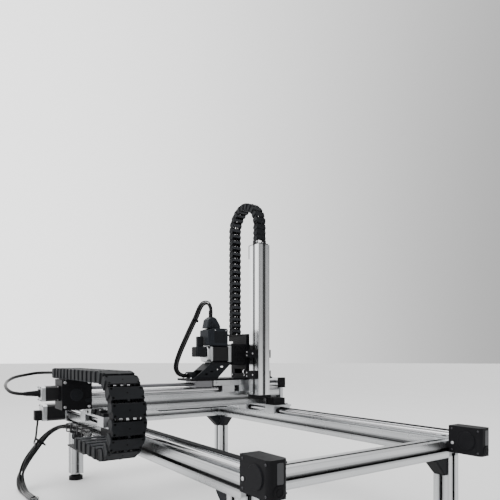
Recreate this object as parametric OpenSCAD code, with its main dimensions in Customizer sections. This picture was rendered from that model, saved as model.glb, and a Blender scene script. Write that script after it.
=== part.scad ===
// Three-axis gantry robot on a table frame of slotted aluminium profiles.
// Two belt axes carry a screw-driven cross beam, and the beam's carriage lifts a rack-driven column.
// X runs along the long sides, Y across them and Z up. Modules are drawn with the frame's middle at
// x = y = 0 and placed() moves the whole machine so that its bounding box is centred on the origin.

/* [Table frame] */
// Length of the frame along X
frame_l = 1062; // [1040:2:1080]
// Width of the frame along Y
frame_w = 634; // [624:2:644]
// Height of the profiles' top face above the floor
frame_h = 225; // [215:1:235]
// Side of the square frame profile
profile = 40; // [40:1:41]
// Diameter of a levelling foot
foot_d = 46; // [40:1:52]

/* [X axes] */
// Diameter of an X guide shaft
x_shaft_d = 10; // [9:0.5:10]
// Length of an end block beyond the profile
block_l = 78; // [76:1:82]
// Width of the toothed belt
belt_w = 16; // [12:1:18]
// Length of a carriage plate
x_plate_l = 226; // [216:2:230]

/* [Cross beam] */
// Width of the beam profile
beam_w = 60; // [58:1:62]
// Height of the beam profile
beam_h = 48; // [46:1:48]
// Diameter of a Y guide shaft
y_shaft_d = 12; // [11:0.5:12]
// Diameter of the lead screw
screw_d = 12; // [10:0.5:12]

/* [Z axis] */
// Size of the lifting column along X
column_x = 53; // [50:1:54]
// Size of the lifting column along Y
column_y = 46; // [42:1:47]
// Length of the lifting column
column_l = 508; // [500:2:516]

/* [Energy chains] */
// Width of the X chain
x_chain_w = 80; // [70:2:80]
// Link height of the X chain
x_chain_h = 28; // [24:1:28]
// Width of the Z chain
z_chain_w = 38; // [32:1:40]
// Link height of the Z chain
z_chain_h = 23; // [20:1:24]

/* [Hidden] */
$fn = 48;

aluminium = "silver";
plastic = [0.13, 0.13, 0.14];
steel = [0.55, 0.56, 0.58];
chain_grey = [0.25, 0.26, 0.27];
gap = 0.3;

half_l = frame_l / 2;
half_w = frame_w / 2;
axis_y = half_w - profile / 2;
leg_x = half_l - profile / 2;
top = frame_h;
foot_h = 22;
SIDES = [-1, 1];

// X rail: two shafts on a central web
x_shaft_y = 16;
x_shaft_z = top + 13;
sleeve_wall = 4;
rail_flange_w = 40;
rail_flange_t = 3;
x_web_w = 12;
x_web_top = top + 17;
neck = 5;

// Belt loop round a pulley at each end
pulley_x = half_l + 44;
pulley_z = top + 6;
belt_in_r = 15;
belt_t = 2;
block_low = top - 26;
block_high = top + 37;
cover_r = 20.5;
cover_t = 2;
drive_shaft_r = 6;

// Carriages stand here along X at rest
gantry_x = -220;
block_pitch = 167;
bearing_l = 50;
x_plate_low = top + 25.5;
beam_low = top + 32;
beam_top = beam_low + beam_h;
x_reach = 37;

// Cross beam ends
beam_y0 = -343;
beam_y1 = 350;
y_shaft_x = 26;
y_shaft_z = beam_top + 11.5;
y_web_w = 30;
y_web_top = beam_top + 16;
screw_z = top + 108;
housing_y0 = -425;
housing_low = top + 50;
housing_top = top + 134;
y_motor_z = top + 96;
y_motor_w = 42;
y_motor_end = -475;
y_plug_end = -516;
y_end = beam_y1 + 12;

// Y carriage stands here along Y at rest
carriage_y = 150;
plate_y0 = carriage_y - 180;
plate_y1 = carriage_y + 88;
carriage_low = y_shaft_z + 10.5;
carriage_top = top + 120;
base_t = 7;
base_top = carriage_top + base_t;

// Z motor, pinion and column
z_axis_z = top + 208;
column_mid_x = -129;
column_mid_y = carriage_y + 62;
column_low = top + 70;
column_top = column_low + column_l;
column_back = column_mid_x - column_x / 2;
rack_module = 2;
pinion_teeth = 40;
rack_w = 12;
pinion_x = column_back - 9.6 - rack_module * pinion_teeth / 2;
rack_pitch_x = column_back - 9.3;
z_house_top = top + 278;

// Energy chains: middle of each run and of each bend
x_chain_y = -375;
x_chain_top_z = housing_top + 2 + x_chain_h / 2;
x_chain_r = 89;
x_chain_mid_z = x_chain_top_z - x_chain_r;
x_bend_x = 91;
x_chain_start = gantry_x - 124;
x_chain_fixed = -99;
z_chain_r = 75;
z_chain_x = column_mid_x - z_chain_r;
z_chain_mid_z = top + 650;
z_chain_y = column_mid_y;
y_chain_w = 30;
y_chain_h = 16;
y_chain_r = 32;
y_chain_x = gantry_x - beam_w / 2 - 30;
y_chain_mid_z = top + 64;
y_bend_y = 130;
y_chain_fixed = -40;
y_chain_end = 64;

// Middle of the cable bundle from the chain to the coil
BUNDLE_ROUTE = [
    [-112, -375, 197], [-150, -373, 197], [-190, -356, 197], [-230, -337, 197], [-290, -331, 197],
    [-350, -331, 196], [-410, -331, 193], [-455, -332, 190], [-482, -344, 190], [-496, -368, 184],
    [-498, -400, 160], [-492, -432, 124], [-482, -463, 84], [-470, -481, 45], [-445, -483, 18],
    [-400, -479, 11], [-350, -476, 11], [-300, -473, 11], [-250, -474, 11], [-200, -478, 11],
    [-155, -481, 11], [-112, -482, 11]
];
bundle_d = 20;
coil_mid = [-112, -560];
coil_r = 78;
coil_turns = 3;
coil_pitch = 12.5;
plug_d = 18;
X_CABLE_ROUTE = [
    [-575, -409, 204.5], [-575, -409.5, 195], [-572, -412, 180], [-560, -416, 164], [-542, -422, 149],
    [-522, -430, 137], [-506, -436, 128]
];
Y_CABLE_ROUTE = [
    [-344, -392, 374], [-372, -398, 374], [-395, -415, 374], [-405, -445, 373], [-395, -480, 368],
    [-360, -515, 363], [-320, -540, 354], [-280, -552, 345], [-250, -553, 336], [-228, -546, 328],
    [-220, -532, 324], [-220, -516, 322]
];
Z_CABLE_ROUTE = [
    [-205, 64, 555], [-205, 64, 575], [-206, 61, 592], [-206, 52, 602], [-207, 38, 600],
    [-207, 25, 585], [-208, 12, 555], [-209, -6, 520], [-210, -26, 480], [-211, -45, 440],
    [-212, -58, 405], [-212, -60, 385], [-212, -52, 371], [-211, -36, 364], [-210, -18, 363]
];
y_cable_d = 8;
z_cable_d = 16;
x_cable_d = 7;

// The machine's bounding box runs from the Y motor's rear to the beam's far end
centre_y = -(y_motor_end + y_end) / 2;

module placed() translate([0, centre_y, 0]) children();

// A flat outline (across, up) drawn out along X, Y or Z from one place to another
module along_x(a, b) translate([a, 0, 0]) rotate([90, 0, 90]) linear_extrude(b - a) children();
module along_y(a, b) translate([0, b, 0]) rotate([90, 0, 0]) linear_extrude(b - a) children();
module along_z(a, b) translate([0, 0, a]) linear_extrude(b - a) children();

module box(low, high) translate(low) cube(high - low);

// Undercut groove whose mouth is at the origin and opens upwards
module groove(mouth = 8, inner = 14, lip = 3, depth = 9) {
    translate([-mouth / 2, -lip - 1]) square([mouth, lip + 2]);
    translate([-inner / 2, -depth]) square([inner, depth - lip]);
}

// Slotted profile section w by h about the origin, with a groove on each listed side
module slotted(w, h, sides = [0, 90, 180, 270]) {
    difference() {
        square([w, h], center = true);
        for (a = sides)
            rotate(a) translate([0, (a % 180 == 0 ? h : w) / 2]) groove();
        circle(d = 7);
    }
}

// ---- Table frame ----

module x_profiles() color(aluminium)
    for (s = SIDES)
        along_x(-half_l, half_l) translate([s * axis_y, top - profile / 2]) difference() {
            slotted(profile, profile, [90, 180, 270]);
            translate([-10, 7]) square([20, 9]);
        }

module cross_members() color(aluminium)
    for (s = SIDES)
        along_y(profile - half_w, half_w - profile)
            translate([s * leg_x, top - profile / 2]) slotted(profile, profile);

module at_legs() for (sx = SIDES, sy = SIDES) translate([sx * leg_x, sy * axis_y, 0]) children();

module legs() color(aluminium)
    at_legs() along_z(foot_h, top - profile) slotted(profile, profile);

module levelling_feet() color(plastic)
    at_legs() {
        cylinder(d = foot_d, h = 12);
        translate([0, 0, 12]) cylinder(d1 = foot_d - 6, d2 = 24, h = 6);
        translate([0, 0, 18]) cylinder(d = 18, h = foot_h - 18);
    }

// Ribbed corner angle in the inner corner of a leg and the profile above it
module corner_angle() {
    size = 42;
    for (y = [-17, 13])
        translate([0, y + 4, 0]) rotate([90, 0, 0]) linear_extrude(4)
            polygon([[0, 0], [size, 0], [size, -5], [5, -size], [0, -size]]);
    box([0, -17, -size], [4, 17, 0]);
    box([0, -17, -4], [size, 17, 0]);
}

module corner_brackets() color(plastic)
    for (sx = SIDES, sy = SIDES) translate([sx * leg_x, sy * axis_y, top - profile]) {
        translate([-sx * profile / 2, 0, 0]) rotate(sx > 0 ? 180 : 0) corner_angle();
        translate([0, -sy * profile / 2, 0]) rotate(sy > 0 ? -90 : 90) corner_angle();
    }

// ---- X axes ----

module x_rail_section() {
    translate([-rail_flange_w / 2, top]) square([rail_flange_w, rail_flange_t]);
    difference() {
        translate([-x_web_w / 2, top]) square([x_web_w, x_web_top - top]);
        translate([-3, x_web_top - 4]) square([6, 5]);
    }
    reach = x_shaft_y - x_shaft_d / 2 + 0.5;
    translate([-reach, x_shaft_z - neck / 2]) square([2 * reach, neck]);
}

module x_rails() color(aluminium)
    for (s = SIDES)
        along_x(-half_l, half_l) translate([s * axis_y, 0]) difference() {
            x_rail_section();
            for (t = SIDES) translate([t * x_shaft_y, x_shaft_z]) circle(d = x_shaft_d);
        }

module x_shafts() color(steel)
    for (s = SIDES, t = SIDES)
        along_x(-half_l, half_l) translate([s * axis_y + t * x_shaft_y, x_shaft_z])
            circle(d = x_shaft_d);

module loop_2d(r) {
    for (s = SIDES) translate([s * pulley_x, pulley_z]) circle(r);
    translate([-pulley_x, pulley_z - r]) square([2 * pulley_x, 2 * r]);
}

module x_belts() color(plastic)
    for (s = SIDES)
        along_y(s * axis_y - belt_w / 2, s * axis_y + belt_w / 2) difference() {
            loop_2d(belt_in_r + belt_t);
            loop_2d(belt_in_r);
        }

// Rounded outer corners, a chamber for the pulley and a mouth for the belt
module end_block_2d() {
    r = 10;
    difference() {
        union() {
            translate([half_l, -profile / 2]) square([block_l - r, profile]);
            translate([half_l, r - profile / 2]) square([block_l, profile - 2 * r]);
            for (s = SIDES) translate([half_l + block_l - r, s * (profile / 2 - r)]) circle(r);
        }
        translate([half_l - 1, -belt_w / 2 - 3]) square([block_l - 7, belt_w + 6]);
    }
}

module end_block() {
    difference() {
        union() {
            along_z(block_low, block_high) end_block_2d();
            along_z(block_high - 8, block_high) block_lid();
            along_z(block_low, block_low + 5) block_lid();
        }
        along_y(-profile, profile) translate([pulley_x, pulley_z]) circle(drive_shaft_r + 0.05);
        for (t = SIDES) along_x(half_l - 1, half_l + 16)
            translate([t * x_shaft_y, x_shaft_z]) circle(d = x_shaft_d - 4);
    }
}

module block_lid() translate([half_l, -profile / 2 + 6]) square([block_l - 4, profile - 12]);

module end_blocks() color(plastic)
    for (sx = SIDES, sy = SIDES)
        translate([0, sy * axis_y, 0]) rotate(sx > 0 ? 0 : 180) end_block();

// Round covers over the pulley shafts, left off where the motor and drive shaft come through
module block_covers() color(plastic)
    for (sx = SIDES, sy = SIDES, t = SIDES)
        if (sx > 0 || (sy > 0 && t > 0)) {
            y0 = sy * axis_y + t * (profile / 2 + cover_t / 2);
            along_y(y0 - cover_t / 2, y0 + cover_t / 2)
                translate([sx * pulley_x, pulley_z]) circle(cover_r);
        }

module x_motor_body() color(plastic) {
    y0 = -half_w - 6;
    box([-pulley_x - 28, y0 - 60, pulley_z - 28], [-pulley_x + 28, y0, pulley_z + 28]);
    box([-pulley_x - 13, y0 - 97, pulley_z - 26], [-pulley_x + 13, y0 - 75, pulley_z + 8]);
}

module x_motor_caps() color(aluminium) {
    y0 = -half_w;
    difference() {
        box([-pulley_x - 28.5, y0 - 6, pulley_z - 28.5], [-pulley_x + 28.5, y0, pulley_z + 28.5]);
        along_y(y0 - 7, y0 + 1) translate([-pulley_x, pulley_z]) circle(drive_shaft_r + 0.05);
    }
    box([-pulley_x - 28, y0 - 81, pulley_z - 28], [-pulley_x + 28, y0 - 66, pulley_z + 28]);
}

module pulley() {
    r = belt_in_r - 0.2;
    along_y(-belt_w / 2 - 0.5, belt_w / 2 + 0.5) circle(r);
    for (s = SIDES) along_y(s * (belt_w / 2 + 1.2) - 0.6, s * (belt_w / 2 + 1.2) + 0.6) circle(r + 1.5);
}

// Shaft across the machine with both drive pulleys pinned on it
module x_drive_shaft() color(steel)
    translate([-pulley_x, 0, pulley_z]) {
        along_y(-half_w - 5, half_w - 1) circle(drive_shaft_r);
        for (s = SIDES) translate([0, s * axis_y, 0]) pulley();
    }

module idler_pulley(s) color(steel)
    translate([pulley_x, s * axis_y, pulley_z]) {
        pulley();
        along_y(-profile / 2 + 0.5, profile / 2 - 0.5) circle(drive_shaft_r);
    }
module idler_pulley_near() idler_pulley(-1);
module idler_pulley_far() idler_pulley(1);

// Angle under the chain's fixed end, screwed to the near profile
module chain_shelf() color(plastic) {
    low = x_chain_mid_z - x_chain_r - x_chain_h / 2 - gap;
    difference() {
        union() {
            box([-170, x_chain_y - 38, low - 4], [-20, -half_w - 4, low]);
            box([-170, -half_w - 4, low - 4], [-20, -half_w, top - 4]);
        }
        for (x = [-150, -110, -70])
            translate([x, -half_w - 16, low - 5]) cylinder(d = 6, h = 6);
    }
    box([-112, x_chain_y - 30, low], [-100, x_chain_y - 24, low + 26]);
    box([-112, x_chain_y + 24, low], [-100, x_chain_y + 30, low + 26]);
    for (p = [[-270, 197], [-320, 197], [-390, 194], [-440, 191]]) cable_saddle(p[0], p[1]);
}

// Open saddle that holds the bundle on the near profile's outer face
module cable_saddle(x, middle) {
    depth = 30;
    difference() {
        box([x - 5, -half_w - depth, middle - 14], [x + 5, -half_w, middle + 14]);
        box([x - 6, -half_w - depth + 2, middle - 12], [x + 6, -half_w + 1, middle + 12]);
    }
}

// ---- Cross beam ----

module x_carriage_plates() color(aluminium)
    for (s = SIDES)
        difference() {
            box([gantry_x - x_plate_l / 2, s * axis_y - x_reach, x_plate_low],
                [gantry_x + x_plate_l / 2, s * axis_y + x_reach, beam_low]);
            for (t = SIDES, u = SIDES, v = SIDES)
                translate([gantry_x + t * (block_pitch / 2 + v * 16), s * axis_y + u * 29, x_plate_low - 1])
                    cylinder(d = 5, h = beam_low - x_plate_low + 2);
        }

module x_bearing_places()
    for (s = SIDES, t = SIDES, u = SIDES)
        translate([gantry_x + t * block_pitch / 2, s * axis_y, 0]) mirror([0, u < 0 ? 1 : 0, 0])
            children();

// Pillow block whose slotted sleeve wraps a supported shaft
module x_bearing_blocks() color(aluminium)
    x_bearing_places() difference() {
        box([-bearing_l / 2, 9, top + 3.2], [bearing_l / 2, x_reach - 1, x_plate_low]);
        along_x(-bearing_l, bearing_l) translate([x_shaft_y, x_shaft_z])
            circle(r = x_shaft_d / 2 + sleeve_wall);
        box([-bearing_l, 0, x_shaft_z - 4], [bearing_l, x_shaft_y, x_shaft_z + 4]);
    }

module x_bearing_sleeves() color(plastic)
    x_bearing_places() difference() {
        along_x(-bearing_l / 2 - 5, bearing_l / 2 + 5) translate([x_shaft_y, x_shaft_z])
            circle(r = x_shaft_d / 2 + sleeve_wall);
        along_x(-bearing_l, bearing_l) translate([x_shaft_y, x_shaft_z])
            circle(r = x_shaft_d / 2 + 0.05);
        box([-bearing_l, 0, x_shaft_z - 3.5], [bearing_l, x_shaft_y, x_shaft_z + 3.5]);
    }

module beam_profile() color(aluminium)
    along_y(beam_y0, beam_y1) translate([gantry_x, beam_low + beam_h / 2])
        slotted(beam_w, beam_h, [90, 180, 270]);

module y_rail() color(aluminium)
    along_y(beam_y0, beam_y1) translate([gantry_x, 0]) difference() {
        reach = y_shaft_x - y_shaft_d / 2 + 0.5;
        union() {
            translate([-y_web_w / 2, beam_top]) square([y_web_w, y_web_top - beam_top]);
            translate([-reach, y_shaft_z - 3]) square([2 * reach, 6]);
        }
        for (t = SIDES) translate([t * y_shaft_x, y_shaft_z]) circle(d = y_shaft_d);
        translate([-7, y_web_top - 4]) square([14, 5]);
    }

module y_shafts() color(steel)
    for (t = SIDES)
        along_y(beam_y0, beam_y1) translate([gantry_x + t * y_shaft_x, y_shaft_z]) circle(d = y_shaft_d);

// Housing at the beam's near end: screw bearing, belt reduction and motor face
module y_drive_housing() color(plastic) {
    difference() {
        box([gantry_x - 40, housing_y0, housing_low], [gantry_x + 40, beam_y0, housing_top]);
        along_y(beam_y0 - 20, beam_y0 + 1) translate([gantry_x, screw_z]) circle(d = screw_d + 0.1);
        along_x(gantry_x + 38, gantry_x + 41)
            translate([housing_y0 + 40, top + 92]) circle(18);
        for (y = [housing_y0 + 8, beam_y0 - 8], z = [housing_low + 8, housing_top - 8])
            along_x(gantry_x + 36, gantry_x + 41) translate([y, z]) circle(d = 5);
    }
    box([x_chain_start + 4, x_chain_y - 38, housing_top],
        [gantry_x + 40, x_chain_y + 30, housing_top + 2 - gap]);
}

module y_end_block() color(aluminium)
    difference() {
        box([gantry_x - 34, beam_y1, beam_low + 4], [gantry_x + 34, y_end, screw_z + 14]);
        along_y(beam_y1 - 1, y_end + 1) translate([gantry_x, screw_z]) circle(d = screw_d + 0.1);
    }

module y_motor_body() color(plastic) {
    half = y_motor_w / 2;
    box([gantry_x - half, y_motor_end + 12, y_motor_z - half],
        [gantry_x + half, housing_y0 - 5, y_motor_z + half]);
    for (x = SIDES, z = SIDES)
        translate([gantry_x + 15.5 * x, 0, y_motor_z + 15.5 * z])
            along_y(y_motor_end, y_motor_end + 1.5) circle(d = 4);
}

module y_motor_caps() color(aluminium) {
    half = y_motor_w / 2;
    for (y = [[housing_y0 - 5, housing_y0], [y_motor_end + 1.5, y_motor_end + 12]])
        box([gantry_x - half, y[0], y_motor_z - half], [gantry_x + half, y[1], y_motor_z + half]);
}

// Reference switches on the carriages and beside the beam's far end
module limit_switches() color(plastic) {
    box([gantry_x + 35, beam_y1 - 14, beam_top + 8], [gantry_x + 52, beam_y1 + 8, beam_top + 44]);
    far = [gantry_x + 60, axis_y - 33, beam_low];
    box(far, far + [50, 48, 4]);
    for (k = [0:4]) box(far + [10 * k, 0, 4], far + [10 * k + 6, 48, 24]);
    near = [gantry_x + 44, -axis_y - 34, beam_low];
    box(near, near + [32, 30, 14]);
    box(near + [36, 0, 0], near + [60, 38, 9]);
}

// ---- Energy chains ----

// Hollow link section, across by high
module link_2d(w, h, wall = 3) difference() {
    square([w, h], center = true);
    square([w - 2 * wall, h - 2 * wall], center = true);
}

// Half turn about the Y axis, from +X over the top to -X
module half_turn(r, w, h) rotate([90, 0, 0]) rotate_extrude(angle = 180)
    translate([r, 0]) rotate(90) link_2d(w, h);

module x_run(x0, x1, z) translate([0, x_chain_y, z]) along_x(x0, x1) link_2d(x_chain_w, x_chain_h);

module x_chain_upper_run() color(chain_grey) x_run(x_chain_start + 14, x_bend_x - gap, x_chain_top_z);
module x_chain_lower_run() color(chain_grey)
    x_run(x_chain_fixed, x_bend_x - gap, x_chain_mid_z - x_chain_r);
module x_chain_bend() color(chain_grey)
    translate([x_bend_x, x_chain_y, x_chain_mid_z]) rotate([0, 90, 0])
        half_turn(x_chain_r, x_chain_w, x_chain_h);
module x_chain_moving_end() color(plastic) {
    low = housing_top + 2;
    difference() {
        box([x_chain_start, x_chain_y - x_chain_w / 2 + 1, low],
            [x_chain_start + 13, x_chain_y + x_chain_w / 2 - 1, low + x_chain_h - 2]);
        box([x_chain_start - 1, x_chain_y - 30, low + 4],
            [x_chain_start + 14, x_chain_y + 30, low + x_chain_h - 6]);
    }
}

module y_run(y0, y1, z) translate([y_chain_x, 0, z]) along_y(y0, y1) link_2d(y_chain_w, y_chain_h, 2);

module y_chain_lower_run() color(chain_grey) {
    low = y_chain_mid_z - y_chain_r - y_chain_h / 2;
    y_run(y_chain_fixed, y_bend_y - gap, y_chain_mid_z - y_chain_r);
    box([y_chain_x - y_chain_w / 2, y_chain_fixed - 60, low - 3],
        [gantry_x - beam_w / 2, y_bend_y + 30, low]);
}
module y_chain_upper_run() color(chain_grey) {
    y_run(y_chain_end, y_bend_y - gap, y_chain_mid_z + y_chain_r);
}
module y_chain_bend() color(chain_grey)
    translate([y_chain_x, y_bend_y, y_chain_mid_z]) rotate([-90, 0, 0]) rotate(90)
        half_turn(y_chain_r, y_chain_w, y_chain_h);

module z_run(x, z0, z1) translate([x, z_chain_y, 0]) along_z(z0, z1)
    rotate(90) link_2d(z_chain_w, z_chain_h);

module z_chain_fixed_run() color(chain_grey) {
    z_run(z_chain_x - z_chain_r, z_house_top + 4, z_chain_mid_z - gap);
}
module z_chain_bend() color(chain_grey)
    translate([z_chain_x, z_chain_y, z_chain_mid_z]) half_turn(z_chain_r, z_chain_w, z_chain_h);

module z_chain_column_run() color(chain_grey)
    z_run(column_mid_x, column_top + 18, z_chain_mid_z - gap);

// Bracket on the column's top that holds the chain's end
module z_chain_clamp() color(plastic) {
    cap_t = 4;
    cap_top = column_top + cap_t;
    box([column_mid_x - 24, column_mid_y - 19, column_top], [column_mid_x + 24, column_mid_y + 19, cap_top]);
    for (s = SIDES)
        box([column_mid_x - 12, column_mid_y + s * 17 - 2, cap_top],
            [column_mid_x + 12, column_mid_y + s * 17 + 2, column_top + 18 - gap]);
    box([column_mid_x - 37, column_mid_y - 19, column_top - 42],
        [column_back - 4.2, column_mid_y - 13, cap_top]);
    box([column_mid_x - 32, column_mid_y - 19, column_top], [column_mid_x - 23, column_mid_y - 13, cap_top]);
}

// ---- Lead screw and Y carriage ----

module lead_screw() color(steel)
    along_y(beam_y0 - 19, y_end - 2) translate([gantry_x, screw_z]) circle(d = screw_d);

module y_carriage_body() color(aluminium)
    difference() {
        box([gantry_x - 38, carriage_y - 88, carriage_low], [gantry_x + 38, carriage_y + 66, carriage_top]);
        box([gantry_x - 10, carriage_y - 89, carriage_low - 1],
            [gantry_x + 10, carriage_y + 67, screw_z + 10]);
    }

module base_plate() color(plastic) {
    difference() {
        box([gantry_x - 45, plate_y0, carriage_top], [gantry_x + 50, plate_y1, base_top]);
        for (x = [-30, 0, 30], y = [12, 160])
            translate([gantry_x + x, plate_y0 + y, carriage_top - 1]) cylinder(d = 5, h = base_t + 2);
    }
    arm = [y_chain_x - y_chain_w / 2, y_chain_end - 34, carriage_top - 16];
    box(arm, arm + [y_chain_w, 32, 4]);
    box(arm + [0, 0, 4], arm + [y_chain_w, 6, 16]);
    box(arm + [0, 0, 16], [gantry_x - 45, y_chain_end - 2, base_top]);
}

module y_bearing_places()
    for (y = [carriage_y - 33, carriage_y + 34], u = SIDES)
        translate([gantry_x, y, 0]) mirror([u < 0 ? 1 : 0, 0, 0]) children();

module y_bearing_blocks() color(aluminium)
    y_bearing_places() difference() {
        box([16, -24, beam_top + 0.7], [44, 24, carriage_low]);
        along_y(-30, 30) translate([y_shaft_x, y_shaft_z]) circle(r = y_shaft_d / 2 + sleeve_wall);
        box([0, -30, y_shaft_z - 5], [y_shaft_x, 30, y_shaft_z + 5]);
    }

module y_bearing_sleeves() color(plastic)
    y_bearing_places() difference() {
        along_y(-30, 30) translate([y_shaft_x, y_shaft_z]) circle(r = y_shaft_d / 2 + sleeve_wall);
        along_y(-31, 31) translate([y_shaft_x, y_shaft_z]) circle(r = y_shaft_d / 2 + 0.05);
        box([0, -31, y_shaft_z - 4.5], [y_shaft_x, 31, y_shaft_z + 4.5]);
    }

module screw_nut() color(steel)
    difference() {
        box([gantry_x - 30, plate_y0 + 25, screw_z - 9], [gantry_x + 34, carriage_y - 90, carriage_top]);
        along_y(plate_y0, carriage_y) translate([gantry_x, screw_z]) circle(d = screw_d + 0.1);
    }

// ---- Z drive ----

z_y0 = column_mid_y - 28;
z_y1 = column_mid_y + 28;

// Body round the pinion, open towards the rack, with the chain's bracket on top
module z_drive_housing() color(plastic) {
    inner_r = rack_module * (pinion_teeth / 2 + 1) + 1.5;
    difference() {
        union() {
            box([-262, z_y0, base_top], [column_back - 12, z_y1, z_house_top - 30]);
            box([-190, z_y0, z_house_top - 30], [column_back - 12, z_y1, z_house_top - 3]);
            box([-300, z_y0 + 4, z_house_top - 3], [column_back - 12, z_y1 - 4, z_house_top]);
        }
        along_y(column_mid_y - 8, column_mid_y + 8) {
            translate([pinion_x, z_axis_z]) circle(inner_r);
            translate([pinion_x, z_axis_z - 24]) square([60, 48]);
        }
        along_y(z_y0 - 1, z_y1 - 6) translate([pinion_x, z_axis_z]) circle(r = 7.05);
        box([-240, z_y0 - 1, base_top + 14], [-196, z_y1 + 1, base_top + 30]);
    }
    for (x = [-292, -270]) box([x - 2, z_y0 + 6, z_house_top], [x + 2, z_y1 - 6, z_house_top + 4 - gap]);
}

// Block between motor and housing with horizontal ribs
module coupling_housing() color(plastic) {
    y0 = z_y0 - 54;
    difference() {
        union() {
            box([pinion_x - 32, y0, z_axis_z - 32], [pinion_x + 32, z_y0, z_axis_z + 32]);
            for (z = [-30, -10, 10, 30])
                box([pinion_x - 35, y0 + 2, z_axis_z + z - 4], [pinion_x + 35, z_y0, z_axis_z + z + 4]);
        }
        along_y(y0 - 1, z_y0 + 1) translate([pinion_x, z_axis_z]) circle(r = 16);
    }
}

motor_y1 = z_y0 - 54;
flange_t = 12;
motor_l = 61;

module z_motor_body() color(plastic)
    box([pinion_x - 28, motor_y1 - flange_t - motor_l, z_axis_z - 28],
        [pinion_x + 28, motor_y1 - flange_t, z_axis_z + 28]);

module z_motor_caps() color(aluminium) {
    box([pinion_x - 28.5, motor_y1 - flange_t, z_axis_z - 28.5],
        [pinion_x + 28.5, motor_y1, z_axis_z + 28.5]);
    box([pinion_x - 28, motor_y1 - flange_t - motor_l - 19, z_axis_z - 28],
        [pinion_x + 28, motor_y1 - flange_t - motor_l, z_axis_z + 28]);
}

// Encoder box behind the motor, terminal housing on top of it and the cable hood
module z_encoder_housing() color([0.3, 0.31, 0.32]) {
    rear = motor_y1 - flange_t - motor_l - 19;
    top_z = z_axis_z + 86;
    box([pinion_x - 20, rear - 36, z_axis_z - 10], [pinion_x + 20, rear, z_axis_z + 24]);
    box([pinion_x - 10, rear - 28, z_axis_z + 24], [pinion_x + 10, rear - 4, z_axis_z + 56]);
    box([pinion_x - 28, rear + 18, z_axis_z + 28.5], [pinion_x + 28, motor_y1 - flange_t - 2, top_z]);
    box([pinion_x - 20, rear - 4, z_axis_z + 30], [pinion_x + 20, rear + 18, top_z]);
    box([pinion_x - 18, rear + 2, top_z], [pinion_x + 18, rear + 54, top_z + 36]);
}

// Sloping sheet tray that leads the cables up under the motor
module cable_tray() color(plastic) {
    difference() {
        along_x(pinion_x - 28, pinion_x + 28)
            polygon([[plate_y0 + 14, base_top], [plate_y0 + 104, base_top],
                     [motor_y1 - 2, z_axis_z - 31], [motor_y1 - 80, z_axis_z - 31]]);
        along_x(pinion_x - 24, pinion_x + 24)
            polygon([[plate_y0 + 10, base_top + 4], [plate_y0 + 104, base_top + 4],
                     [motor_y1 + 2, z_axis_z - 34], [motor_y1 - 76, z_axis_z - 34]]);
        for (k = [0:3]) along_x(pinion_x + 20, pinion_x + 30)
            translate([plate_y0 + 56 + 20 * k, base_top + 12 + 8 * k]) square([12, 5]);
    }
    box([pinion_x - 16, plate_y0 + 14, base_top], [pinion_x + 12, plate_y0 + 30, base_top + 22]);
}

// Slide blocks with clamp screws on both sides of the column
module guide_blocks() color(plastic)
    for (s = SIDES) {
        y0 = column_mid_y + s * (column_y / 2 + gap);
        y1 = y0 + s * 10;
        for (z = [[-58, -31], [12, 40]])
            box([column_back - 12, min(y0, y1), z_axis_z + z[0] - 25],
                [column_mid_x + 20, max(y0, y1), z_axis_z + z[1] - 25]);
    }

module gear_2d(teeth, m, fill) {
    step = 360 / teeth;
    polygon([for (k = [0:teeth - 1], p = [
            [-0.30, m * teeth / 2 - 1.25 * m], [-0.5 * fill * 0.72, m * teeth / 2 - 0.2],
            [-0.13, m * teeth / 2 + m], [0.13, m * teeth / 2 + m],
            [0.5 * fill * 0.72, m * teeth / 2 - 0.2], [0.30, m * teeth / 2 - 1.25 * m]])
        [p[1] * cos((k + p[0]) * step), p[1] * sin((k + p[0]) * step)]]);
}

// Pinion with a tooth pointing at the rack, on the shaft that the coupling turns
module z_pinion() color(steel)
    translate([pinion_x, 0, z_axis_z]) {
        along_y(column_mid_y - rack_w / 2, column_mid_y + rack_w / 2)
            gear_2d(pinion_teeth, rack_module, 0.5);
        along_y(motor_y1 + 2, z_y1 - 7) circle(r = 7);
    }

module z_column() color(aluminium)
    translate([column_mid_x, column_mid_y, 0]) along_z(column_low, column_top)
        slotted(column_x, column_y);

// Rack whose tooth spaces stand level with the pinion's teeth
module z_rack() color(steel) {
    pitch = PI * rack_module;
    root = rack_pitch_x + 1.25 * rack_module;
    tip = rack_pitch_x - rack_module;
    first = floor((column_low + 18 - z_axis_z) / pitch);
    last = floor((column_top - 18 - z_axis_z) / pitch);
    along_y(column_mid_y - rack_w / 2, column_mid_y + rack_w / 2)
        polygon(concat(
            [[column_back, column_low + 10]], [[root, column_low + 10]],
            [for (k = [first:last], p = [[root, -0.32], [tip, -0.14], [tip, 0.14], [root, 0.32]])
                [p[0], z_axis_z + (k + 0.5 + p[1]) * pitch]],
            [[root, column_top - 10]], [[column_back, column_top - 10]]));
}

module tool_flange() color(plastic)
    difference() {
        translate([column_mid_x - 30, column_mid_y - 26, column_low - 8]) cube([60, 52, 8]);
        for (x = SIDES, y = SIDES)
            translate([column_mid_x + x * 20, column_mid_y + y * 16, column_low - 9])
                cylinder(d = 5.5, h = 10);
    }

// ---- Cables ----

function unit(v) = v / norm(v);
function bend_at(p, i) = unit(p[min(i + 1, len(p) - 1)] - p[max(i - 1, 0)]);
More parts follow.
